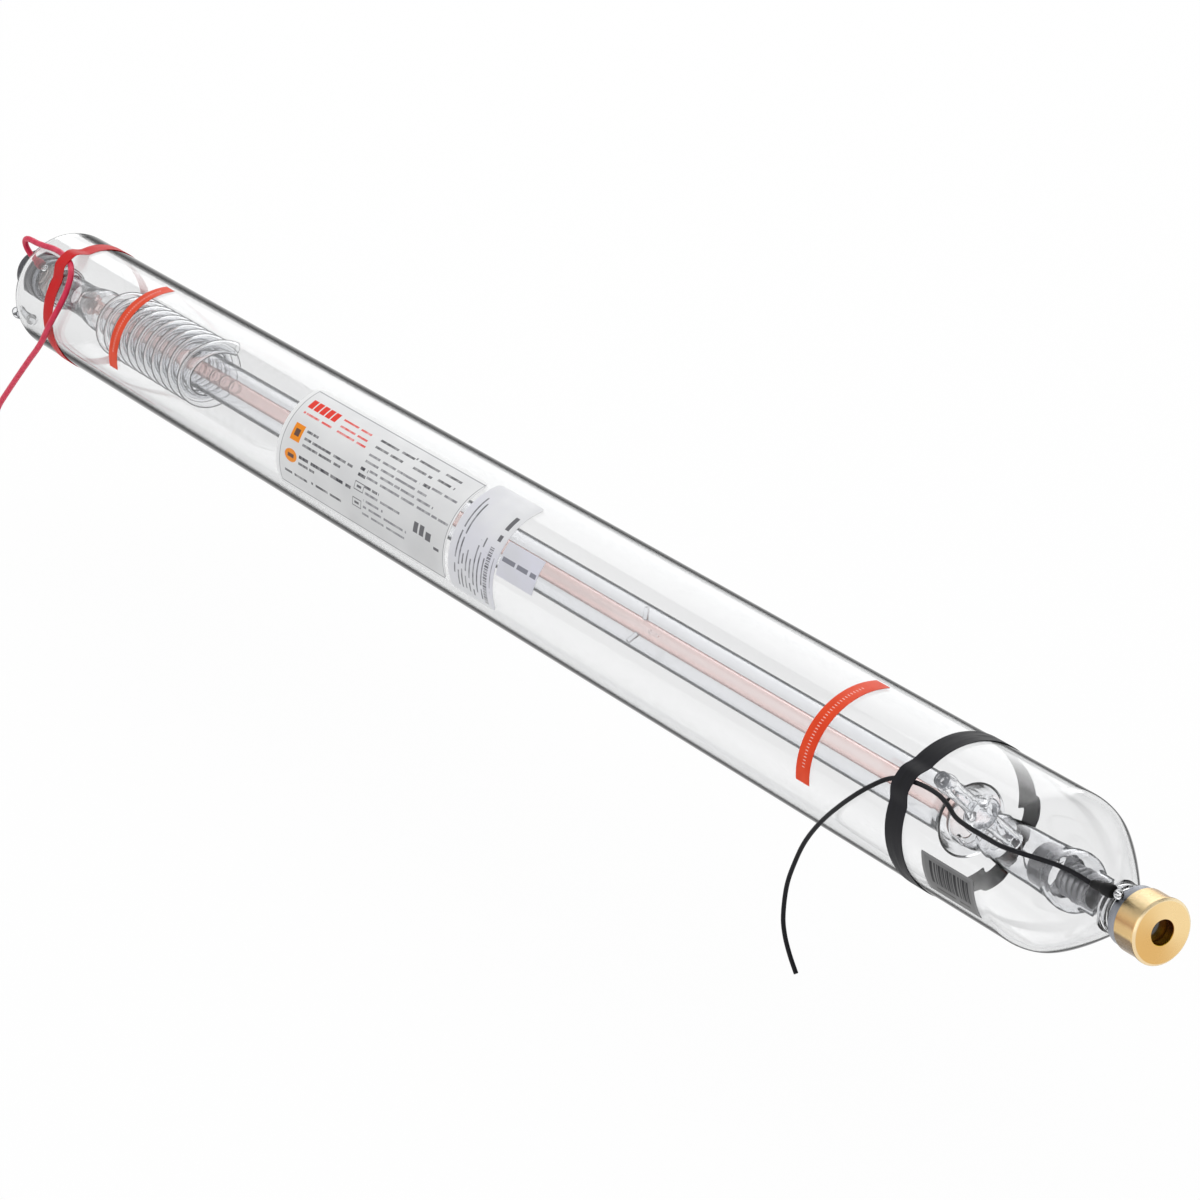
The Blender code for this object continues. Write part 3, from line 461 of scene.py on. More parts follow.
jacket_inner = inset(closed_end, JACKET_WALL) + soften(throat, 0.7, 1.5)
jacket_inner += [(front + 1.3, 15.5), (front + 1.2, SEAL_R)]
turned_glass("jacket_glass", jacket_outer, jacket_inner, inner_walls, CHAMBER_SIDES, ["water_jacket"])


# Discharge tube
# The narrow tube in which the gas is excited, tinted pink. Its front end opens into a funnel that is fused
# to the front chamber, and three faint rings near its rear show where lengths of it were joined.

BORE_TUBE_WALL = 1.2
BORE_FRONT_BACK = 153.3
BORE_REAR_BACK = JACKET_REAR_BACK + 38.0
JOINTS = (973.0, 959.0, 946.0)
SMALL_SIDES = 72

pink_glass = glass("bore_glass", tint=(0.998, 0.975, 0.968), soft=((0.68, 0.46, 0.42), 0.20, 0.56),
                   line=((0.34, 0.15, 0.13), 0.57, 0.74), dark=0.5, glow=(1.0, 0.76, 0.71))
pink_inside = glass("bore_glass_inside", tint=(0.99, 0.96, 0.95), soft=((0.95, 0.84, 0.82), 0.3, 0.8),
                    line=((0.8, 0.6, 0.58), 0.9, 0.98), dark=0.0)
front, rear = BORE_FRONT_BACK, BORE_REAR_BACK
bore = soften([(rear, 8.0), (rear - 4, 6.2), (rear - 9, BORE_TUBE_R), (rear - 12, BORE_TUBE_R)], 0.8, 1.2)
for joint in JOINTS:
    bore += [(joint + d, BORE_TUBE_R + 0.3 * math.exp(-(d / 0.7) ** 2)) for d in np.linspace(1.6, -1.6, 9)]
bore += soften([(front + 16, BORE_TUBE_R), (front + 14, BORE_TUBE_R), (front + 7.5, BORE_TUBE_R + 1.0),
                (front + 3.8, BORE_TUBE_R + 3.4), (front + 2.0, 10.7), (front, 11.4)], 0.6, 1.2)
turned_glass("bore_tube", bore, inset(bore, BORE_TUBE_WALL), [pink_glass, pink_inside], SMALL_SIDES,
             ["discharge_tube"])


# Front chamber
# The glass body that holds the cathode: a wide seat on the jacket, a waist, a long body, a bulb and a spout
# that ends in the neck. A short ring of glass on its side is all that is left of a sealed vent.

CHAMBER_WALL = 1.2
VENT_BACK = 141.0
VENT_ANGLE = -21.0


def round_axis(back, angle, radius):
    turn = math.radians(angle)
    return Vector((x_at(back), -radius * math.cos(turn), radius * math.sin(turn)))


def stood(outline, start, end, sides):
    """A lathed part whose axis runs from one point to another."""
    thing = lathe(outline, sides)
    turn = (end - start).to_track_quat("X", "Z").to_matrix().to_4x4()
    thing.matrix_world = Matrix.Translation(start * MM) @ turn
    bpy.ops.object.transform_apply()
    return thing


def blown(points):
    """The outer and inner line of a chamber of even wall, softened, with rounded lips."""
    outer = soften(points, 0.8, 1.4)
    inner = inset(outer, CHAMBER_WALL)
    front = Vector(outer[-1]) * 0.5 + Vector(inner[-1]) * 0.5
    rear = Vector(outer[0]) * 0.5 + Vector(inner[0]) * 0.5
    way = (Vector(outer[-1]) - Vector(outer[-2])).normalized() * CHAMBER_WALL * 0.3
    back = (Vector(outer[0]) - Vector(outer[1])).normalized() * CHAMBER_WALL * 0.3
    return outer + [tuple(front + way)], [tuple(rear + back)] + inner


cathode_outline = [
    (153.0, 11.4), (151.5, 12.3), (150.0, 12.6), (146.0, 12.6), (140.0, 12.2), (134.5, 10.7), (130.5, 10.6),
    (126.0, 11.6), (121.0, 12.2), (90.0, 12.7), (76.0, 13.4), (71.0, 14.6), (66.0, 15.0), (61.0, 14.2),
    (57.0, 12.2), (55.0, 10.6), (52.0, 10.0), (40.0, 9.8), (36.0, 10.5), (27.0, 10.5)]
turned_glass("cathode_glass", *blown(cathode_outline), inner_walls, CHAMBER_SIDES, ["cathode_chamber"])
stood([(0, 3.1), (0.7, 3.0), (1.1, 2.6), (1.1, 1.9), (0, 1.7)], round_axis(VENT_BACK, VENT_ANGLE, 12.0),
      round_axis(VENT_BACK, VENT_ANGLE, 16.0), 32)
dress("chamber_vent", [inner_glass])


# Rear chamber
# The glass body that holds the anode. It is sealed to the rear wall, narrows to a seat on the discharge
# tube, and takes the end of the return coil in its side.

ANODE_R = 11.6

front, rear = JACKET_REAR_BACK + FIT, REAR_WALL_BACK - GLASS_WALL - FIT
anode_outline = [
    (rear, ANODE_R + 1.4), (rear - 2.0, ANODE_R + 1.0), (rear - 4.5, ANODE_R), (front + 44, ANODE_R),
    (front + 32, ANODE_R + 0.9), (front + 21, ANODE_R + 2.6), (front + 13, ANODE_R + 3.2),
    (front + 6, ANODE_R + 2.4), (front + 1.7, ANODE_R + 0.4), (front, ANODE_R - 2.4), (front, TUBE_HOLE_R)]
turned_glass("anode_glass", *blown(anode_outline), inner_walls, CHAMBER_SIDES, ["anode_chamber"])


# Return coil
# A thin hollow glass tube wound round the jacket, which lets the gas run back from the rear chamber without
# a short path for the discharge. Its front end is open, and its rear end is drawn in to the chamber.

COIL_TUBE_R = 4.4
COIL_BORE_R = 3.2
COIL_R = 19.2
COIL_PITCH = 12.0
COIL_TURNS = 10.67
COIL_START = 9.0
COIL_STEPS = 36
MOUTH_LIFT = 2.6
COIL_FRONT_BACK = JACKET_REAR_BACK - 156.0
COIL_FRONT_ANGLE = 125.0
COIL_SEAT_R = 15.1
COIL_TAIL = ((3.6, 26, 19.2), (9.5, 46, 19.2), (16.5, 60, 19.0), (22.5, 70, 18.2), (28.0, 78, 16.2),
             (33.0, 84, 13.4))


def smooth_route(points, spacing):
    """Evenly spaced points of a Catmull-Rom curve through a route's own points."""
    ends = [points[0] * 2 - points[1]] + points + [points[-1] * 2 - points[-2]]
    fine = []
    for a, b, c, d in zip(ends, ends[1:], ends[2:], ends[3:]):
        for t in np.linspace(0, 1, 24, endpoint=False):
            fine.append(0.5 * (2 * b + (c - a) * t + (2 * a - 5 * b + 4 * c - d) * t ** 2
                               + (3 * b - a - 3 * c + d) * t ** 3))
    fine.append(points[-1])
    steps = [0.0]
    for a, b in zip(fine, fine[1:]):
        steps.append(steps[-1] + (b - a).length)
    count = max(2, round(steps[-1] / spacing))
    wanted = np.linspace(0, steps[-1], count + 1)
    return [Vector([float(np.interp(s, steps, [p[k] for p in fine])) for k in range(3)]) for s in wanted]


def round_curve(name, path, radius, detail):
    """A round curve along a path of points."""
    curve = bpy.data.curves.new(name, "CURVE")
    curve.dimensions = "3D"
    spline = curve.splines.new("POLY")
    spline.points.add(len(path) - 1)
    for spot, point in zip(spline.points, path):
        spot.co = (*(point * MM), 1.0)
    curve.bevel_depth = radius * MM
    curve.bevel_resolution = detail
    thing = bpy.data.objects.new(name, curve)
    bpy.context.scene.collection.objects.link(thing)
    return thing


def thicken(thing, wall):
    """Gives a surface a wall on its inner side, and puts the new side in the inside group."""
    thing.vertex_groups.new(name="inside")
    wall_maker = thing.modifiers.new("wall", "SOLIDIFY")
    wall_maker.thickness = wall * MM
    wall_maker.offset = -1.0
    wall_maker.shell_vertex_group = "inside"
    bpy.ops.object.modifier_apply(modifier="wall")


coil_path = []
for turns in np.linspace(0, COIL_TURNS, round(COIL_TURNS * COIL_STEPS) + 1):
    lift = MOUTH_LIFT * max(0.0, 1 - turns / 0.2) ** 1.5
    eased = min(turns / 0.5, 1.0)
    back = COIL_FRONT_BACK + COIL_START * eased * eased * (3 - 2 * eased) + COIL_PITCH * turns
    coil_path.append(round_axis(back, COIL_FRONT_ANGLE - 360 * turns, COIL_R + lift))
coil_end_angle = COIL_FRONT_ANGLE - 360 * COIL_TURNS
coil_end_back = COIL_FRONT_BACK + COIL_START + COIL_PITCH * COIL_TURNS
tail = [coil_path[-7], coil_path[-4], coil_path[-1]]
tail += [round_axis(coil_end_back + reach, coil_end_angle - turn, radius)
         for reach, turn, radius in COIL_TAIL]
coil_path = coil_path[:-1] + [point for point in smooth_route(tail, 1.6)
                              if SUPPORT_BACK - point.x > coil_end_back - 0.1]
coil = round_curve("coil_tube", coil_path, COIL_TUBE_R, 8)
coil.select_set(True)
bpy.context.view_layer.objects.active = coil
bpy.ops.object.convert(target="MESH")
coil = bpy.context.object
thicken(coil, COIL_TUBE_R - COIL_BORE_R)
for vert in coil.data.vertices:
    off_axis = math.hypot(vert.co.y, vert.co.z) / MM
    if SUPPORT_BACK - vert.co.x / MM > coil_end_back + 12.0 and off_axis < COIL_SEAT_R:
        vert.co.y *= COIL_SEAT_R / max(off_axis, 1e-3)
        vert.co.z *= COIL_SEAT_R / max(off_axis, 1e-3)
coil_glass = glass("coil_glass", tint=(0.97, 0.973, 0.98), soft=((0.78, 0.79, 0.80), 0.18, 0.40),
                   line=((0.035, 0.04, 0.045), 0.42, 0.60), dark=0.85, shine=0.5)
dress("coil_tube", [coil_glass, inner_glass_inside], ["return_coil"])


# Jacket port
# A short ring of smoked glass, fused to the jacket inside the mouth of the coil, where a port of the jacket
# was sealed off.

PORT_BACK = COIL_FRONT_BACK + 21.0
PORT_ANGLE = 64.0

smoked = Finish("smoked_glass", Roughness=0.08, Specular_IOR_Level=0.4)
smoke = smoked.noise(300.0).ramp(0.3, 0.7)
smoked.set("Base Color", smoked.mix(smoke, (0.012, 0.016, 0.035), (0.03, 0.035, 0.06)))
stood([(0, 3.6), (0.6, 3.5), (1.1, 3.1), (1.1, 2.4), (0, 2.4)],
      round_axis(PORT_BACK, PORT_ANGLE, JACKET_R + FIT),
      round_axis(PORT_BACK, PORT_ANGLE, JACKET_R + 5), 32)
dress("port_ring", [smoked.material], ["jacket_port"])


# Spacer pegs
# Three short pegs of clear glass, waisted where they were drawn. They are fused between the discharge tube
# and the jacket, and keep the one in the middle of the other.

PEG_BACK = 452.0
PEG_ANGLES = (95.0, -25.0, 215.0)

for n, angle in enumerate(PEG_ANGLES, 1):
    start = round_axis(PEG_BACK, angle, BORE_TUBE_R + FIT)
    end = round_axis(PEG_BACK, angle, JACKET_R - JACKET_WALL - FIT)
    long = (end - start).length
    stood([(0, 0), (0, 1.5), (0.5, 1.55), (long * 0.5, 1.35), (long - 0.5, 1.55), (long, 1.5), (long, 0)],
          start, end, 24)
    dress(f"peg_{n}", [inner_glass], [f"spacer_peg_{n}"])


# Hose nipples
# Two drawn glass nipples take the water hoses, each with a swelling that holds the hose. The front one
# stands on the side of the vessel, with a branch to the front chamber under it, and the rear one on the
# rear wall.

OUTLET_BACK = 102.0
OUTLET_ANGLE = 43.5
OUTLET_TIP_R = GLASS_R + 33.0
OUTLET_BORE_R = 2.6
FOOT_R = GLASS_R + 0.35
BRANCH_FOOT_R = 13.1
BRANCH_TOP_R = GLASS_R - GLASS_WALL - 0.4
INLET_ANGLE = -34.0
INLET_AXIS_R = 31.8
INLET_LONG = 26.0
INLET_R = 3.5
INLET_BORE_R = 2.0


def seat_on(thing, centre, way, below, radius, blend):
    """Slides the foot of a nipple along its axis so that it meets the round glass all the way round."""
    way = way.normalized()
    across = Vector((1, 0, 0)).cross(way)
    for vert in thing.data.vertices:
        place = vert.co / MM - centre
        rise = place.dot(way)
        if rise > below + blend:
            continue
        side = place.dot(across)
        drop = radius - math.sqrt(max(radius * radius - side * side, 0))
        vert.co -= way * drop * min(1.0, (below + blend - rise) / blend) * MM


nipple_glass = glass("nipple_glass", tint=(0.97, 0.973, 0.978), soft=((0.78, 0.79, 0.80), 0.28, 0.58),
                     line=((0.18, 0.185, 0.19), 0.60, 0.78), dark=0.5, wave=0.0007, glow=(0.45, 0.465, 0.5))
foot = [(FOOT_R, 10.6), (40.75, 9.7), (40.8, 9.2), (41.35, 8.4), (41.45, 7.9), (42.3, 7.0), (42.6, 6.6)]
stem = soften([(43.5, 6.0), (46.0, 5.1), (49.0, 4.5), (53.0, 4.2), (OUTLET_TIP_R - 12, 4.2),
               (OUTLET_TIP_R - 9, 4.6), (OUTLET_TIP_R - 6.5, 5.1), (OUTLET_TIP_R - 4.5, 4.8),
               (OUTLET_TIP_R - 2, 4.0), (OUTLET_TIP_R - 0.5, 3.8)], 0.5, 0.9)
mouth = [(OUTLET_TIP_R - 0.1, 3.6), (OUTLET_TIP_R, 3.2), (OUTLET_TIP_R - 0.1, 2.8),
         (OUTLET_TIP_R - 0.5, OUTLET_BORE_R)]
funnel = [(47.0, OUTLET_BORE_R), (44.0, OUTLET_BORE_R + 0.6), (42.0, OUTLET_BORE_R + 2.0),
          (FOOT_R, OUTLET_BORE_R + 4.2)]
centre = round_axis(OUTLET_BACK, OUTLET_ANGLE, 0)
away = round_axis(OUTLET_BACK, OUTLET_ANGLE, 1)
nipple = stood(foot + stem + mouth + funnel, centre, away, 64)
seat_on(nipple, centre, away - centre, FOOT_R, FOOT_R, 4.0)
dress("front_nipple", [nipple_glass], ["outlet_nipple"])

branch = soften([(BRANCH_FOOT_R, 4.6), (15, 4.6), (19, 4.3), (30, 4.2), (33, 4.6),
                 (BRANCH_TOP_R - 1.6, 6.4), (BRANCH_TOP_R, 8.6)], 0.6, 0.9)
branch += [(BRANCH_TOP_R, 5.4), (BRANCH_TOP_R - 3, OUTLET_BORE_R + 0.4), (BRANCH_TOP_R - 6, OUTLET_BORE_R),
           (BRANCH_FOOT_R, OUTLET_BORE_R)]
seat_on(stood(branch, centre, away, 48), centre, away - centre, 33.5, BRANCH_TOP_R, 3.0)
dress("inner_branch", [nipple_glass], ["outlet_branch"])

inlet = soften([(0, INLET_R + 0.6), (0.8, INLET_R + 0.3), (2.5, INLET_R), (INLET_LONG - 10, INLET_R - 0.2),
                (INLET_LONG - 7, INLET_R + 0.3), (INLET_LONG - 5, INLET_R + 0.5),
                (INLET_LONG - 3, INLET_R + 0.2), (INLET_LONG - 0.6, INLET_R - 0.5)], 0.5, 0.8)
inlet += [(INLET_LONG, INLET_R - 0.8), (INLET_LONG, INLET_BORE_R + 0.3), (INLET_LONG - 0.4, INLET_BORE_R),
          (0, INLET_BORE_R)]
root = round_axis(REAR_WALL_BACK + FIT, INLET_ANGLE, INLET_AXIS_R)
stood(inlet, root, root - Vector((INLET_LONG, 0, 0)), 48)
dress("rear_nipple", [inner_glass], ["inlet_nipple"])


# Electrodes
# Rolled nickel sleeves. The cathode is a plain sleeve and a ribbed one behind the front neck, held by a
# stay of thin wires, and the anode is one plain sleeve at the rear.

SLEEVE_R = 11.0
SLEEVE_FRONT, SLEEVE_REAR = 72.5, 89.0
TIP_SLEEVE_R = 8.45
TIP_SLEEVE_FRONT, TIP_SLEEVE_REAR = 48.0, 70.0
REAR_SLEEVE_R = 9.8
REAR_SLEEVE_LONG = 24.0
RIB_PITCH = 4.5
RIBS = 4
STAY_BACK = 108
STAY_REACH = 10.6
STAY_WIRE_R = 0.45


def turned(name, outline, made, sides, nodes=()):
    """A turned piece on the tube's axis, from an outline of (back, r) points."""
    lathe([(x_at(back), r) for back, r in outline], sides)
    return dress(name, [made], nodes)


def rounded(outline, radius):
    """The outline with its corners cut into small rounds."""
    made = []
    count = len(outline)
    for n, here in enumerate(outline):
        here = Vector(here)
        before, after = Vector(outline[n - 1]), Vector(outline[(n + 1) % count])
        a, b = before - here, after - here
        if here.y < 1e-6 or a.length < 1e-6 or b.length < 1e-6:
            made.append(tuple(here))
            continue
        reach = min(radius, a.length * 0.4, b.length * 0.4)
        a, b = here + a.normalized() * reach, here + b.normalized() * reach
        for t in (0.0, 0.33, 0.67, 1.0):
            made.append(tuple(a.lerp(here, t).lerp(here.lerp(b, t), t)))
    return made


def turned_metal(name, colour, dark, roughness, groove=26.0, depth=0.00003, paint=None):
    """Metal off a lathe: fine rings round the axis, cloudy with handling."""
    made = Finish(name, Metallic=1.0)
    back, angle, radius = made.unrolled()
    rings = ((radius + back) * groove).math("SINE")
    cloud = made.noise(90.0, 4.0)
    base = made.mix(cloud.ramp(0.35, 0.75), colour, dark)
    made.set("Base Color", paint(made, back, angle, radius, base) if paint else base)
    made.set("Roughness", cloud.ramp(0.3, 0.8, roughness - 0.05, roughness + 0.1))
    made.bump(rings + cloud * 0.6, depth, 0.35)
    return made.material


nickel = turned_metal("nickel", (0.32, 0.32, 0.33), (0.20, 0.20, 0.21), 0.3)
turned("sleeve", rounded([
    (SLEEVE_REAR, SLEEVE_R - 0.6), (SLEEVE_REAR, SLEEVE_R - 0.2), (SLEEVE_REAR - 4.0, SLEEVE_R),
    (SLEEVE_FRONT + 3.5, SLEEVE_R), (SLEEVE_FRONT, SLEEVE_R - 0.2), (SLEEVE_FRONT, SLEEVE_R - 0.6)], 0.2),
    nickel, SMALL_SIDES, ["cathode_sleeve"])
front, rear, r = TIP_SLEEVE_FRONT, TIP_SLEEVE_REAR, TIP_SLEEVE_R
ribs = []
for n in range(RIBS):
    crest = rear - 2.0 - RIB_PITCH * (n + 0.5)
    ribs += [(crest + 1.9, r - 0.7), (crest + 0.8, r - 0.1), (crest, r), (crest - 0.8, r - 0.1),
             (crest - 1.9, r - 0.7)]
ribs = [(rear, r - 1.4), (rear, r), (rear - 1.4, r)] + ribs
ribs += [(front + 1.4, r), (front, r), (front, r - 1.4)]
turned("tip_sleeve", rounded(ribs, 0.2), nickel, SMALL_SIDES, ["cathode_tip_sleeve"])
rods = []
for start, end in ((round_axis(STAY_BACK, 75, STAY_REACH), round_axis(STAY_BACK, 255, STAY_REACH)),
                   (round_axis(STAY_BACK, 0, 0), round_axis(89.8, 0, 0)),
                   (round_axis(90, 0, 10.0), round_axis(90, 180, 10.0))):
    long, r = (end - start).length, STAY_WIRE_R
    wire = [(0, 0), (0, r - 0.1), (0.1, r), (long - 0.1, r), (long, r - 0.1), (long, 0)]
    rods.append(stood(wire, start, end, 16))
for rod in rods:
    rod.select_set(True)
bpy.ops.object.join()
dress("stay", [nickel], ["cathode_stay"])
rear, r = REAR_WALL_BACK - 6.0, REAR_SLEEVE_R
front = rear - REAR_SLEEVE_LONG
turned("rear_sleeve", rounded([(rear, r - 0.7), (rear, r), (front, r), (front, r - 0.7)], 0.2), nickel,
       SMALL_SIDES, ["anode_sleeve"])


# Output head
# A turned brass cap with a raised face and a wide bore, which carries the output coupler, a disc of dark
# crystal. A thin metal ring seals it to the glass neck.

HEAD_R = 15.9
FACE_R = 16.5
FACE_LONG = 2.6
APERTURE_R = 6.25
LENS_R = 8.5
LENS_THICK = 3.0
LENS_DEPTH = 5.2
RING_R = 15.0


def disc(name, front, thick, radius, edge, made, node):
    """A flat round piece across the axis, with its edge broken."""
    rear = front + thick
    outline = [(rear, 0), (rear, radius), (front, radius), (front, 0)]
    turned(name, rounded(outline, edge), made, SMALL_SIDES, [node])


def seal_ring(name, front, made, node):
    """The thin metal ring between a head and its glass neck."""
    rear = front + RING_LONG
    outline = [(rear, NECK_BORE_R), (rear, RING_R), (front, RING_R), (front, NECK_BORE_R)]
    turned(name, rounded(outline, 0.5), made, VESSEL_SIDES, [node])


def paint_brass(made, back, angle, radius, base):
    """The turned brass body's light and dark bands along its length, which are painted reflections, its
    pale face with a painted sheen to one side and a painted highlight round its rim, and its amber bore,
    painted lit on one side and shaded on the other.
    """
    # Painted reflections: light and dark bands by the angle round the body, each running along its length.
    painted_reflection_bands = ((angle + 60.0) / 190.0).colours(
        (0.0, (0.10, 0.055, 0.025)), (0.10, (0.20, 0.12, 0.055)), (0.16, (0.07, 0.04, 0.02)),
        (0.27, (0.13, 0.07, 0.03)), (0.30, (0.80, 0.54, 0.22)), (0.37, (0.78, 0.52, 0.22)),
        (0.41, (0.56, 0.31, 0.13)), (0.46, (0.74, 0.48, 0.21)), (0.55, (0.82, 0.62, 0.33)),
        (0.72, (0.84, 0.66, 0.38)), (0.82, (0.76, 0.54, 0.26)), (0.90, (0.30, 0.17, 0.07)),
        (0.94, (0.70, 0.50, 0.26)), (1.0, (0.80, 0.62, 0.38)))
    # The body is the painted reflection bands, clouded a little with the brass colour.
    body = made.mix(made.noise(30.0, 3.0, stretch=(0.5, 6.0, 6.0)).ramp(0.3, 0.8) * 0.35, painted_reflection_bands, base)
    # Painted sheen: the face lighter to one side, and below it a painted highlight round its rim.
    face = made.mix((angle * (math.pi / 180.0) - 0.9).math("SINE").ramp(-1.0, 1.0), (0.76, 0.46, 0.16),
                    (0.93, 0.69, 0.35))
    face = made.mix(radius.above(15.2, 0.5) * 0.6, face, (0.97, 0.84, 0.58))
    # Painted light and shade: the amber bore bright on one side and dark on the other.
    amber = made.mix((angle + 40.0).math("ABSOLUTE").ramp(20.0, 150.0), (0.80, 0.52, 0.02),
                     (0.24, 0.075, 0.004))
    painted = made.mix(back.above(1.0, 0.3), face, body)
    return made.mix(1.0 - radius.above(6.5, 0.2), painted, amber)


brass = turned_metal("brass", (0.80, 0.60, 0.32), (0.62, 0.42, 0.18), 0.24, paint=paint_brass)
turned("brass_head", rounded([
    (HEAD_LONG, LENS_R + FIT), (HEAD_LONG, HEAD_R), (FACE_LONG + 0.1, HEAD_R), (FACE_LONG - 0.3, FACE_R),
    (0.9, FACE_R), (0.0, FACE_R - 1.1), (0.0, APERTURE_R), (LENS_DEPTH, APERTURE_R),
    (LENS_DEPTH, LENS_R + FIT)], 0.45), brass, VESSEL_SIDES, ["output_head"])

crystal = Finish("coupler_crystal", IOR=1.8)
back, angle, radius = crystal.unrolled()
crystal.set("Base Color", radius.ramp(1.0, 6.5).colours((0.0, (0.012, 0.007, 0.004)),
                                                        (1.0, (0.10, 0.035, 0.004))))
crystal.set("Roughness", crystal.noise(120.0).ramp(0.3, 0.7, 0.05, 0.14))
disc("coupler_window", LENS_DEPTH + FIT, LENS_THICK, LENS_R, 0.3, crystal.material, "output_coupler")

ring_metal = turned_metal("ring_metal", (0.30, 0.31, 0.34), (0.18, 0.19, 0.215), 0.26)
seal_ring("front_ring", HEAD_LONG + FIT, ring_metal, "head_seal_ring")


# Mirror head
# A steel cup on the rear neck, coloured near black, sealed by a ring like the front one. It holds the
# gold-faced rear mirror, and three set screws in its back tilt it.

SCREWS = 3
SCREW_CIRCLE_R = 11.4
MIRROR_R = 9.0
MIRROR_THICK = 4.0

front = LENGTH - MIRROR_HEAD_LONG
seal_ring("rear_ring", front - FIT - RING_LONG, ring_metal, "mirror_seal_ring")
# A near-black steel colour for the whole cup.
near_black_steel = turned_metal("mirror_head_metal", (0.045, 0.045, 0.055), (0.028, 0.028, 0.038), 0.32)
bowl = front + 4.6
turned("rear_head", rounded([
    (LENGTH, 0), (LENGTH, HEAD_R), (front + 14.0, HEAD_R), (front + 13.0, HEAD_R - 1.4),
    (front + 9.0, HEAD_R - 1.4), (front + 8.0, HEAD_R), (front, HEAD_R), (front, MIRROR_R + FIT),
    (bowl, MIRROR_R + FIT), (bowl, 0)], 0.4), near_black_steel, VESSEL_SIDES, ["mirror_head"])
mirror = Finish("mirror_coat", Metallic=1.0, Base_Color=(0.55, 0.46, 0.42))
mirror.set("Roughness", mirror.noise(80.0).ramp(0.3, 0.7, 0.02, 0.08))
disc("mirror_disc", front + FIT, MIRROR_THICK, MIRROR_R, 0.25, mirror.material, "rear_mirror")
screw_steel = turned_metal("screw_steel", (0.09, 0.09, 0.095), (0.06, 0.06, 0.065), 0.4)
for n in range(SCREWS):
    angle = 90 + 360 // SCREWS * n
    stood(rounded([(0, 0), (0, 1.6), (3.7, 1.6), (3.7, 0.9), (2.4, 0.9), (2.4, 0)], 0.2),
          round_axis(LENGTH - 4.7, angle, SCREW_CIRCLE_R),
          round_axis(LENGTH + 5, angle, SCREW_CIRCLE_R), 30)
    dress(f"set_screw_{n + 1}", [screw_steel], [f"adjuster_screw_{n + 1}"])


# Leads
# Two silicone leads: a thin black one from the cathode and a thicker red one from the anode. Each leaves a
# shrunk boot, runs over the glass under its tape, and hangs free with a bare end.

BLACK_LEAD_R = 1.2
RED_LEAD_R = 2.0
BLACK_BOOT = (round_axis(22.6, 51.0, 17.9), round_axis(36.0, 45.2, 19.4))
RED_BOOT = (round_axis(REAR_WALL_BACK + 4.9, 49.0, 22.2), round_axis(REAR_WALL_BACK + 10.0, 49.6, 25.8))
BLACK_OVER_GLASS = [
    (41, 44.0, 22.0), (46, 42.6, 25.4), (52, 40.2, 29.4), (58, 37.2, 33.2), (64, 34.6, 37.0),
    (70, 32.8, 40.0), (77, 31.5, 41.6), (88, 31.2, 41.6), (102, 31.3, 41.6), (114, 32.6, 41.6),
    (124, 37.2, 41.6), (134.9, 39.7, 41.6), (150.3, 39.0, 41.6), (166.5, 34.2, 41.6), (178.5, 23.1, 41.6),
    (194.8, 4.7, 41.8),
]
BLACK_HANGING = [
    (215.3, -42.2, -14.4), (230.1, -42.4, -30.9), (239.6, -42.6, -46.7), (245.6, -42.8, -60.7),
    (248.0, -43.0, -76.7), (246.6, -43.0, -86.5), (242.0, -43.0, -95.5), (235.5, -43.0, -104.0),
]
RED_OVER_GLASS = [(REAR_WALL_BACK + back, angle, radius) for back, angle, radius in (
    (14.2, 51.0, 29.7), (15.4, 52.8, 34.2), (14.2, 54.6, 38.6), (11.0, 56.2, 41.9), (6.5, 57.3, 43.1),
    (0.0, 58.0, 42.9), (-6.5, 58.3, 42.7), (-16.0, 59.6, 42.6), (-25.0, 61.2, 42.6), (-34.0, 61.8, 42.6),
    (-43.0, 61.2, 42.6), (-53.0, 59.4, 42.6), (-64.0, 55.2, 42.6), (-74.5, 46.3, 42.6), (-80.7, 33.5, 42.6),
    (-80.1, 20.0, 42.8),
)]
RED_HANGING = [(REAR_WALL_BACK + back, y, z) for back, y, z in (
    (-71.3, -43.4, 1.3), (-53.3, -43.6, -17.6), (-33.8, -43.8, -33.7), (-15.7, -44.0, -48.8),
    (2.6, -44.0, -64.1), (20.5, -44.0, -79.8), (34.5, -44.0, -97.0), (41.0, -44.0, -117.0),
    (43.5, -44.0, -138.0), (44.0, -44.0, -158.0),
)]


def plain_skin(name, colour, shade, roughness, gloss=0.12, glow=0.0):
    """A plain skin of silicone, shrink or paper. Under the glass it has a little glow, for the light that
    comes through."""
    made = Finish(name, Specular_IOR_Level=gloss)
    if glow:
        made.set("Emission Color", colour)
        made.set("Emission Strength", glow)
    cloud = made.noise(220.0, 3.0)
    made.set("Base Color", made.mix(cloud.ramp(0.3, 0.7), colour, shade))
    made.set("Roughness", cloud.ramp(0.3, 0.7, roughness - 0.06, roughness + 0.08))
    made.bump(made.noise(900.0, 2.0), 0.00005, 0.4)
    return made.material


def route(boot, over_glass, hanging):
    start, end = boot
    way = (end - start).normalized()
    hung = [Vector((x_at(back), y, z)) for back, y, z in hanging]
    return [end + way * 0.9, end + way * 2.2] + [round_axis(*point) for point in over_glass] + hung


def lead(name, node, points, radius, made):
    """A free lead on a smooth curve through its route."""
    path = smooth_route(points, 2.0)
    thing = round_curve(name, path, radius, 6)
    thing.data.use_fill_caps = True
    thing.data.materials.append(made)
    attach(thing, "root")
    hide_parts(node)
    tuple(points[0] * MM)


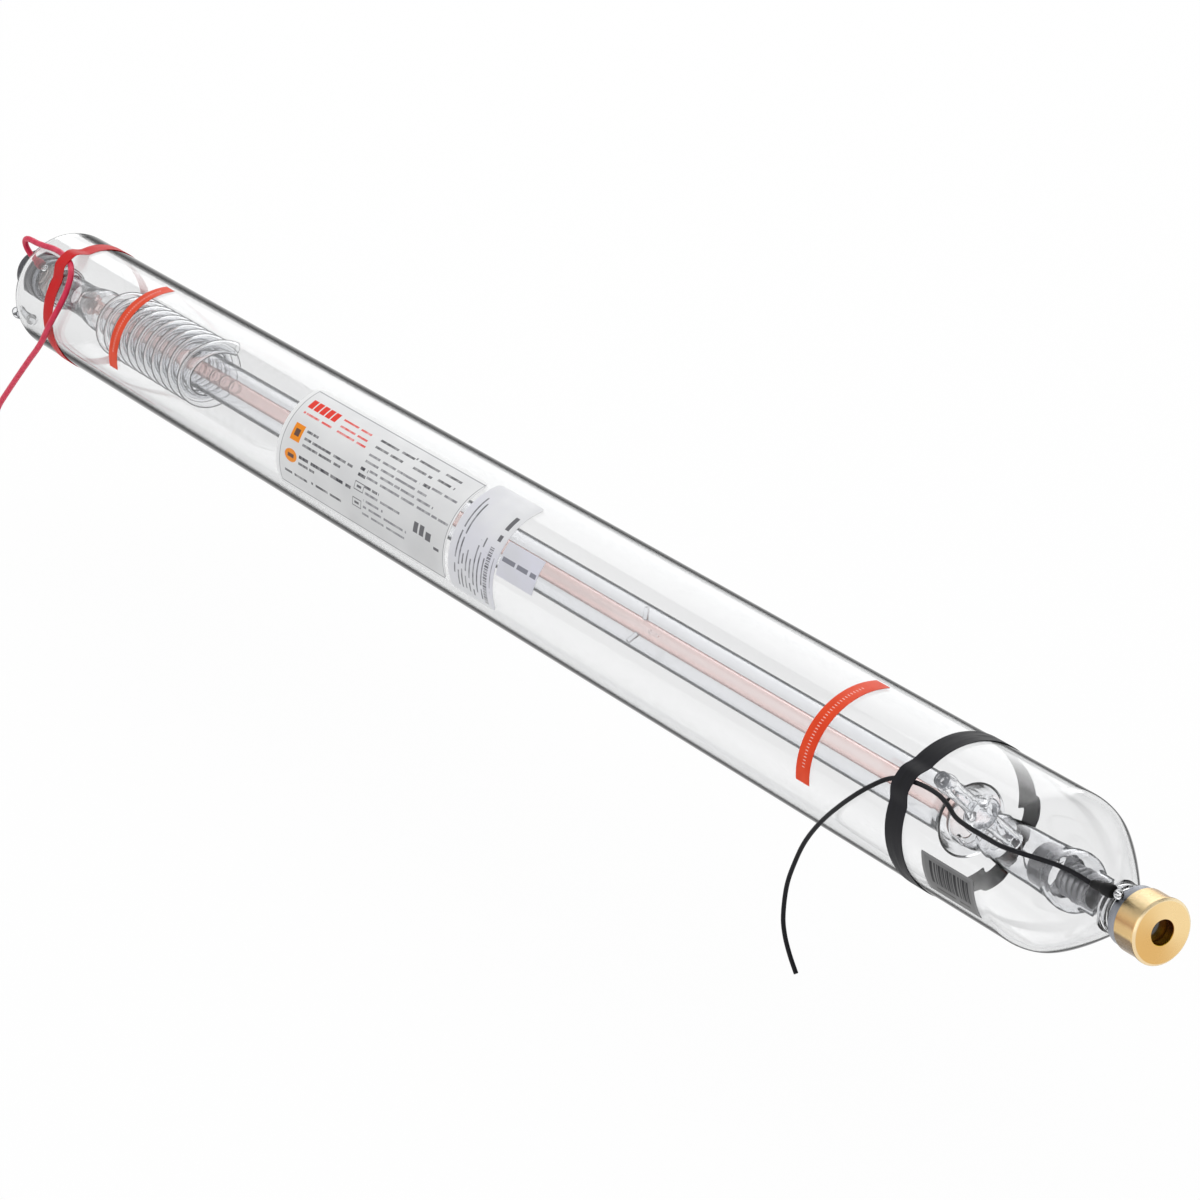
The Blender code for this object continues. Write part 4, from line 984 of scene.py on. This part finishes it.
lead("black_wire", "black_lead", route(BLACK_BOOT, BLACK_OVER_GLASS, BLACK_HANGING), BLACK_LEAD_R,
     plain_skin("black_silicone", (0.009, 0.009, 0.011), (0.013, 0.013, 0.016), 0.42))
lead("red_wire", "red_lead", route(RED_BOOT, RED_OVER_GLASS, RED_HANGING), RED_LEAD_R,
     plain_skin("red_silicone", (0.72, 0.032, 0.090), (0.62, 0.024, 0.070), 0.40, 0.25))


# Lead boots
# Two sleeves of shrink tubing over the joints of the leads. Each is wide where it is pushed over the bead,
# and drawn in by heat where it grips the lead.

BOOT_R = 3.3
BOOT_EDGE = 0.9

for name, (start, end), lead_r, made in (
        ("cathode_boot", BLACK_BOOT, BLACK_LEAD_R,
         plain_skin("black_shrink", (0.009, 0.009, 0.010), (0.014, 0.014, 0.014), 0.5)),
        ("anode_boot", RED_BOOT, RED_LEAD_R,
         plain_skin("red_shrink", (0.46, 0.012, 0.035), (0.38, 0.010, 0.028), 0.45))):
    long = (end - start).length
    outline = [(0, 0), (0, BOOT_R - BOOT_EDGE)]
    outline += [(BOOT_EDGE * (1 - math.cos(a)), BOOT_R - BOOT_EDGE * (1 - math.sin(a)))
                for a in np.linspace(0.2, 1.5, 5)]
    outline += [(long * 0.3, BOOT_R - 0.05), (long * 0.42, BOOT_R - 0.25), (long * 0.5, lead_r + 1.4),
                (long * 0.56, lead_r + 1.1), (long - 1.2, lead_r + 0.85), (long - 0.3, lead_r + 0.6),
                (long, lead_r + 0.3), (long, 0)]
    stood(outline, start, end, 40)
    dress(name, [made], [name])


# Terminals
# At each end a thin steel pin of the electrode comes out of the glass through a fused glass bead, and the
# boot is pushed over both.

BEAD_R = 2.6
PIN_R = 0.55

bead_glass = glass("bead_glass", soft=((0.78, 0.79, 0.80), 0.2, 0.5), line=((0.14, 0.15, 0.16), 0.5, 0.7),
                   dark=0.5)
pin_steel = turned_metal("pin_steel", (0.36, 0.36, 0.37), (0.28, 0.28, 0.29), 0.35)
for name, (start, end), long in (("cathode", BLACK_BOOT, 5.3), ("anode", RED_BOOT, 3.6)):
    way = (start - end).normalized()
    half = (long - 0.4) / 2
    bead = [(0.4 + half - half * math.cos(a), max(BEAD_R * math.sin(a), 0.7))
            for a in np.linspace(0.25, math.pi - 0.3, 15)]
    first, last = bead[0][0], bead[-1][0]
    stood(bead + [(last, PIN_R + 0.07), (first, PIN_R + 0.07)], start + way * 0.3, start + way * 6, 40)
    dress(f"{name}_bead", [bead_glass], [f"{name}_terminal"])
    stood([(0, 0), (0, PIN_R - 0.1), (0.1, PIN_R), (last - 0.4, PIN_R), (last - 0.2, PIN_R - 0.15),
           (last - 0.2, 0)], start + way * 0.3, start + way * 6, 20)
    dress(f"{name}_pin", [pin_steel], [f"{name}_terminal"])


# Tapes
# A turn of stretched plastic tape at each end holds the lead to the glass, black in front and red behind.
# Each rises in a low ridge over its lead, and the red one is wound a little askew.

BLACK_TAPE_BACK = 157.4
BLACK_TAPE_HALF = 7.1
RED_TAPE_BACK = REAR_WALL_BACK - 50.2
RED_TAPE_HALF = 6.9
RED_TAPE_LEAN = 9.5
TAPE_THICK = 0.35
TAPE_POINTS = 241


def tape_film(name, colour, shade, roughness):
    """Stretched tape: a soft gloss, with faint strain lines along its length."""
    made = Finish(name, Specular_IOR_Level=0.1)
    lines = made.noise(60.0, 4.0, stretch=(9.0, 1.0, 1.0))
    made.set("Base Color", made.mix(lines.ramp(0.3, 0.75), colour, shade))
    made.set("Roughness", lines.ramp(0.3, 0.7, roughness - 0.08, roughness + 0.1))
    made.bump(lines, 0.00012, 0.6)
    return made.material


def sheet(name, angles, fronts, backs, outer, thick, finishes, nodes):
    """A thin sheet bent round the glass. Its edges and outer radius go by angle."""
    bpy.ops.mesh.primitive_grid_add(x_subdivisions=2, y_subdivisions=len(angles) - 1, location=(0, 0, 0))
    thing = bpy.context.object
    for vert in thing.data.vertices:
        angle = angles[vert.index // 3]
        share = vert.index % 3 / 2
        vert.co = round_axis(fronts(angle) * (1 - share) + backs(angle) * share, angle, outer(angle)) * MM
    thing.data.update()
    first = thing.data.polygons[0]
    faces_in = first.normal.dot(Vector((0, first.center.y, first.center.z))) < 0
    bpy.ops.object.mode_set(mode="EDIT")
    bpy.ops.mesh.select_all(action="SELECT")
    bpy.ops.mesh.remove_doubles(threshold=1e-7)
    if faces_in:
        bpy.ops.mesh.flip_normals()
    bpy.ops.object.mode_set(mode="OBJECT")
    thicken(thing, thick)
    return dress(name, finishes, nodes, 30.0)


def over_lead(angle, middle, plateau, slope, height):
    """How far a tape stands off the glass where it crosses its lead."""
    share = min(max(1.0 - (abs(angle - middle) - plateau) / slope, 0.0), 1.0)
    return GLASS_R + 0.06 + TAPE_THICK + height * share * share * (3.0 - 2.0 * share)


def tape_ring(name, middle, half, lean, ridge, finishes, node):
    """A turn of tape. Its ridge is the lead's angle, a flat and a slope in degrees, and a height."""

    def edge(side):
        return lambda angle: middle + side * half - lean * math.cos(math.radians(angle))

    sheet(name, np.linspace(0, 360, TAPE_POINTS), edge(-1), edge(1), lambda angle: over_lead(angle, *ridge),
          TAPE_THICK, finishes, [node])


black_film = tape_film("black_tape_film", (0.009, 0.009, 0.011), (0.017, 0.017, 0.021), 0.46)
tape_ring("black_wrap", BLACK_TAPE_BACK, BLACK_TAPE_HALF, 0.0, (36.8, 4.4, 13.0, 2 * BLACK_LEAD_R + 0.8),
          [black_film], "black_tape")
red_film = tape_film("red_tape_film", (0.55, 0.003, 0.004), (0.62, 0.008, 0.010), 0.44)
red_under = plain_skin("red_tape_under", (0.55, 0.004, 0.006), (0.50, 0.004, 0.006), 0.5, glow=0.3)
tape_ring("red_wrap", RED_TAPE_BACK, RED_TAPE_HALF, RED_TAPE_LEAN, (58.6, 5.0, 16.0, 2 * RED_LEAD_R + 0.8),
          [red_film, red_under], "red_tape")


# Support strips
# Two strips of orange plastic film with plain white ticks. Each is stuck over the near upper quarter of the
# glass, where a clamp takes the tube.

FILM_THICK = 0.16
STRIPS = (("front", SUPPORT_BACK, -4, 99), ("rear", 1042.5, -8, 92))
STRIP_HALF = 6.0
ORANGE_FILM = (0.80, 0.066, 0.012)
ORANGE_SHADE = (0.73, 0.05, 0.01)


def label(name, front, back, low_angle, high_angle, made, under, node, corner=3.5):
    """A film with rounded corners, pressed on the glass, with a plain back."""
    radius = GLASS_R + 0.08 + FILM_THICK
    turn = math.degrees(corner / radius)
    ends = [turn * (1 - math.cos(t)) for t in np.linspace(0, math.pi / 2, 12)]
    span = high_angle - low_angle
    middle = np.linspace(turn, span - turn, max(3, int(span / 2)))[1:-1]
    angles = [low_angle + a for a in ends + list(middle)] + [high_angle - a for a in ends[::-1]]

    def cut_back(angle):
        edge = math.radians(min(angle - low_angle, high_angle - angle)) * radius
        short = max(corner - edge, 0.0)
        return corner - math.sqrt(max(corner * corner - short * short, 0.0))

    sheet(name, angles, lambda a: front + cut_back(a), lambda a: back - cut_back(a), lambda a: radius,
          FILM_THICK, [made, under], [node])


strip_under = plain_skin("orange_film_under", ORANGE_FILM, ORANGE_SHADE, 0.5, glow=0.3)
strip = Finish("orange_film", Specular_IOR_Level=0.15)
back, angle, radius = strip.unrolled()
cloud = strip.noise(70.0, 3.0)
from_front, from_rear = [(back - middle).math("ABSOLUTE") for _, middle, _, _ in STRIPS]
from_middle = from_front.math("MINIMUM", from_rear)
ticks = (angle * 0.42).math("FRACT").between(0.2, 0.42, 0.04) * from_middle.between(-1.0, 1.1, 0.2)
ticks = ticks * angle.between(6.0, 82.0, 0.5)
orange = strip.mix(cloud.ramp(0.3, 0.7), ORANGE_FILM, ORANGE_SHADE)
strip.set("Base Color", strip.mix(ticks * 0.75, orange, (0.95, 0.80, 0.74)))
strip.set("Roughness", cloud.ramp(0.3, 0.7, 0.38, 0.5))
strip.bump(cloud, 0.00006, 0.5)
for end, middle, low, high in STRIPS:
    label(f"{end}_strip", middle - STRIP_HALF, middle + STRIP_HALF, low, high, strip.material, strip_under,
          f"{end}_support_strip", 0.4)


# Rating plate
# A silver film with a thin dark frame, stuck to the near upper side of the glass. It has plain fields of
# colour: a broken red bar, two orange patches and rows of thin broken bars.

INK = (0.035, 0.035, 0.045)
GREY_INK = (0.16, 0.16, 0.18)
RED_INK = (0.80, 0.030, 0.012)
ORANGE = (0.88, 0.27, 0.004)


def union(masks):
    total = masks[0]
    for mask in masks[1:]:
        total = total.math("MAXIMUM", mask)
    return total


def boxes(over, across, marks, soft=0.3):
    """A mask of plain rectangles, each (low over, high over, low across, high across)."""
    return union([over.between(low, high, soft) * across.between(bottom, top, soft)
                  for low, high, bottom, top in marks])


def outline_of(over, across, low, high, bottom, top, line):
    """A mask of a rectangle's thin outline."""
    filled = boxes(over, across, [(low, high, bottom, top)], line * 0.6)
    return filled - boxes(over, across, [(low + line, high - line, bottom + line, top - line)], line * 0.6)


def bar_rows(made, over, across, rows, size, seed=0.0):
    """Thin broken bars in rows, each (low over, high over, middle across), with uneven ink."""
    ink = made.noise(240.0, 2.0).ramp(0.3, 0.66, 0.6, 1.0)
    half = size * 0.33
    bars = []
    for low, high, middle in rows:
        phase = seed + middle
        waves = (over * 0.71 + phase).math("SINE") + (over * 0.29 + phase * 1.3).math("SINE")
        whole = boxes(over, across, [(low, high, middle - half, middle + half)])
        bars.append(whole * waves.ramp(-1.3, -1.2))
    return union(bars) * ink


def printed(made, base, *layers):
    """The base colour under layers of ink, each a (mask, colour)."""
    for mask, colour in layers:
        base = made.mix(mask, base, colour)
    return base


def label_film(name, paper, dark_paper, paint):
    """A film of one paper colour, and a function that lays the fields of colour over it."""
    made = Finish(name, Specular_IOR_Level=0.15)
    back, angle, radius = made.unrolled()
    across = angle * (math.pi / 180.0 * GLASS_R)
    cloud = made.noise(28.0, 3.0, stretch=(1.0, 2.0, 2.0))
    base = made.mix(cloud.ramp(0.3, 0.7), paper, dark_paper)
    made.set("Base Color", paint(made, back, across, base))
    made.set("Roughness", cloud.ramp(0.3, 0.7, 0.3, 0.42))
    made.bump(made.noise(160.0, 3.0), 0.00004, 0.4)
    return made.material


label_under = plain_skin("label_under", (0.74, 0.74, 0.73), (0.69, 0.69, 0.68), 0.6, glow=0.5)


def paint_rating(made, back, across, base):
    # Painted shade: the silver film greyer towards its lower edge, in soft clouds.
    shaded = made.mix(made.noise(9.0).ramp(0.2, 0.9), base, (0.50, 0.505, 0.51))
    base = made.mix(across.ramp(-14.0, 48.0), shaded, base)
    dark = bar_rows(made, back, across, [
        (770, 784.3, 24.6), (722.5, 783.5, 20.2), (735, 783, 16.3), (762.5, 783, 5.1), (771.5, 800.3, -3.0),
        (728.2, 766.2, -2.2), (693.7, 715.5, 42.0), (674.7, 691, 42.2), (644, 674, 43.1), (622, 640, 43.8),
        (681.4, 715, 37.0), (647.2, 671.2, 37.4), (622, 641.5, 38.4), (685.4, 702.8, 13.9)], 2.3)
    bold = bar_rows(made, back, across, [
        (717.6, 783.2, 8.9), (705, 714, 22.2), (705, 714, 18.5), (640, 649.6, 31.9)], 2.8, 2.0)
    grey = bar_rows(made, back, across, [
        (653, 714, 31.2), (611, 640, 32.4), (640, 714, 27.0), (628, 704, 23.0), (607, 704, 19.1),
        (656.8, 702.3, 10.6), (677.4, 701, 6.3), (648.4, 701, 2.6), (650.7, 702, -1.6)], 2.1, 5.0)
    red = bar_rows(made, back, across, [
        (764.7, 800, 33.5), (726.5, 760.9, 41.7), (724.9, 758.4, 37.2), (722.1, 757.6, 33.5)], 2.0, 9.0)
    red_bar = boxes(back, across, [(766.2 + 7.2 * n, 772.1 + 7.2 * n, 37.2, 43.4) for n in range(5)])
    oval = 1.0 - (((back - 793.4) / 7.6) ** 2.0 + ((across - 7.1) / 3.8) ** 2.0).above(1.0, 0.2)
    patch = union([boxes(back, across, [(787.6, 799.4, 16.0, 26.4)]), oval])
    inner = boxes(back, across, [(790.6, 796.4, 19.0, 23.4), (789.6, 797.2, 6.0, 8.2)])
    marks = union([
        outline_of(back, across, 703.0, 714.2, 9.6, 14.6, 0.5),
        outline_of(back, across, 703.2, 714.0, 0.2, 5.2, 0.5),
        boxes(back, across, [
            (706, 711.4, 11.4, 12.8), (706, 711.4, 2.0, 3.4), (636, 641, 5.6, 11.6), (629, 634, 5.6, 11.6),
            (620.6, 626.6, 5.0, 9.6), (610.2, 616.4, 2.4, 4.0)])])
    field = (605.0, 807.4, -11.9, 50.4)
    base = made.mix(boxes(back, across, [field]), (0.84, 0.845, 0.85), base)
    return printed(made, base, (outline_of(back, across, *field, 0.65) * 0.75, GREY_INK), (dark * 0.9, INK),
                   (bold, INK), (grey * 0.85, GREY_INK), (red * 0.9, RED_INK), (red_bar, RED_INK),
                   (patch, ORANGE), (inner * 0.9, INK), (marks * 0.85, INK))


label("rating_plate", 603.5, 811.5, -19, 75.5,
      label_film("silver_film", (0.82, 0.825, 0.83), (0.76, 0.765, 0.775), paint_rating), label_under,
      "rating_label", 7)


# Test label
# A paler film stuck in front of the rating plate. Its rows of bars run round the glass, beside a band of
# fine bars and two patches.

def paint_test(made, back, across, base):
    base = made.mix(made.noise(14.0).ramp(0.35, 0.65), base, (0.70, 0.70, 0.77))
    big = bar_rows(made, across, back, [(-3, 44.3, 591.4), (-9.3, 40.8, 587.2)], 2.2, 1.0)
    rows = bar_rows(made, across, back, [
        (-9.8, 10, 583.4), (-9, 13.2, 579.2), (-9.8, 9.3, 575.0), (-10.6, 21.8, 570.6), (-9.2, 24.3, 566.4),
        (-10, 17.1, 561.6)], 2.1, 4.0)
    fine_bars = ((across * 3.9).math("SINE") + (across * 6.7).math("SINE")).ramp(-0.3, 0.1)
    bars = boxes(back, across, [(555.4, 559.6, -11.2, 21.2)]) * fine_bars
    fine = bar_rows(made, across, back, [(-3.4, 16.5, 552.2)], 1.3, 7.0)
    patch = boxes(back, across, [(553.4, 557.4, 33.0, 42.4), (553.6, 557.2, 25.6, 29.4)])
    return printed(made, base, (big * 0.85, INK), (rows * 0.85, INK), (bars * 0.85, INK),
                   (fine * 0.8, GREY_INK), (patch * 0.85, INK))


label("certificate", 548.6, 599.2, -19.5, 80.5,
      label_film("white_film", (0.80, 0.805, 0.82), (0.72, 0.725, 0.74), paint_test), label_under,
      "certificate_label")


# Side label
# A small pale film with square corners, stuck to the glass in front of the test label. One row of plain
# bars runs along it.

def paint_side(made, back, across, base):
    row = boxes(back, across, [
        (low, high, 17.6, 20.2) for low, high in ((531.2, 544.6), (517.4, 528.8), (508.4, 514.6))])
    return made.mix(row * 0.8, base, (0.12, 0.125, 0.16))


label("side_mark", 507.0, 546.6, 13, 41.5,
      label_film("pale_film", (0.70, 0.70, 0.79), (0.66, 0.665, 0.71), paint_side), label_under,
      "side_up_label", 0.8)


# Code label
# A small grey film, stuck low on the front end of the glass. It has a run of uneven dark bars with a thin
# row under them.

BAR_WIDTHS = (1.3, 0.7, 1.9, 0.7, 1.1, 2.3, 0.9, 0.7, 1.7, 1.0)


def paint_code(made, back, across, base):
    base = made.mix(boxes(back, across, [(93.2, 131.4, -30.0, -1.4)]), (0.20, 0.20, 0.202), base)
    low, lines = 95.8, []
    while low < 128.5:
        wide = BAR_WIDTHS[len(lines) % len(BAR_WIDTHS)]
        lines.append((low, low + wide, -14.8, -3.0))
        low += wide + BAR_WIDTHS[len(lines) * 3 % len(BAR_WIDTHS)] * 0.6
    bars = boxes(back, across, lines, 0.15)
    fine = bar_rows(made, back, across, [(98, 126, -17.6)], 1.6, 2.0)
    return made.mix(union([bars, fine]), base, (0.006, 0.006, 0.008))


label("code_mark", 91.0, 133.8, -30.5, 0,
      label_film("grey_film", (0.165, 0.165, 0.167), (0.14, 0.14, 0.14), paint_code), label_under,
      "code_label", 0.8)
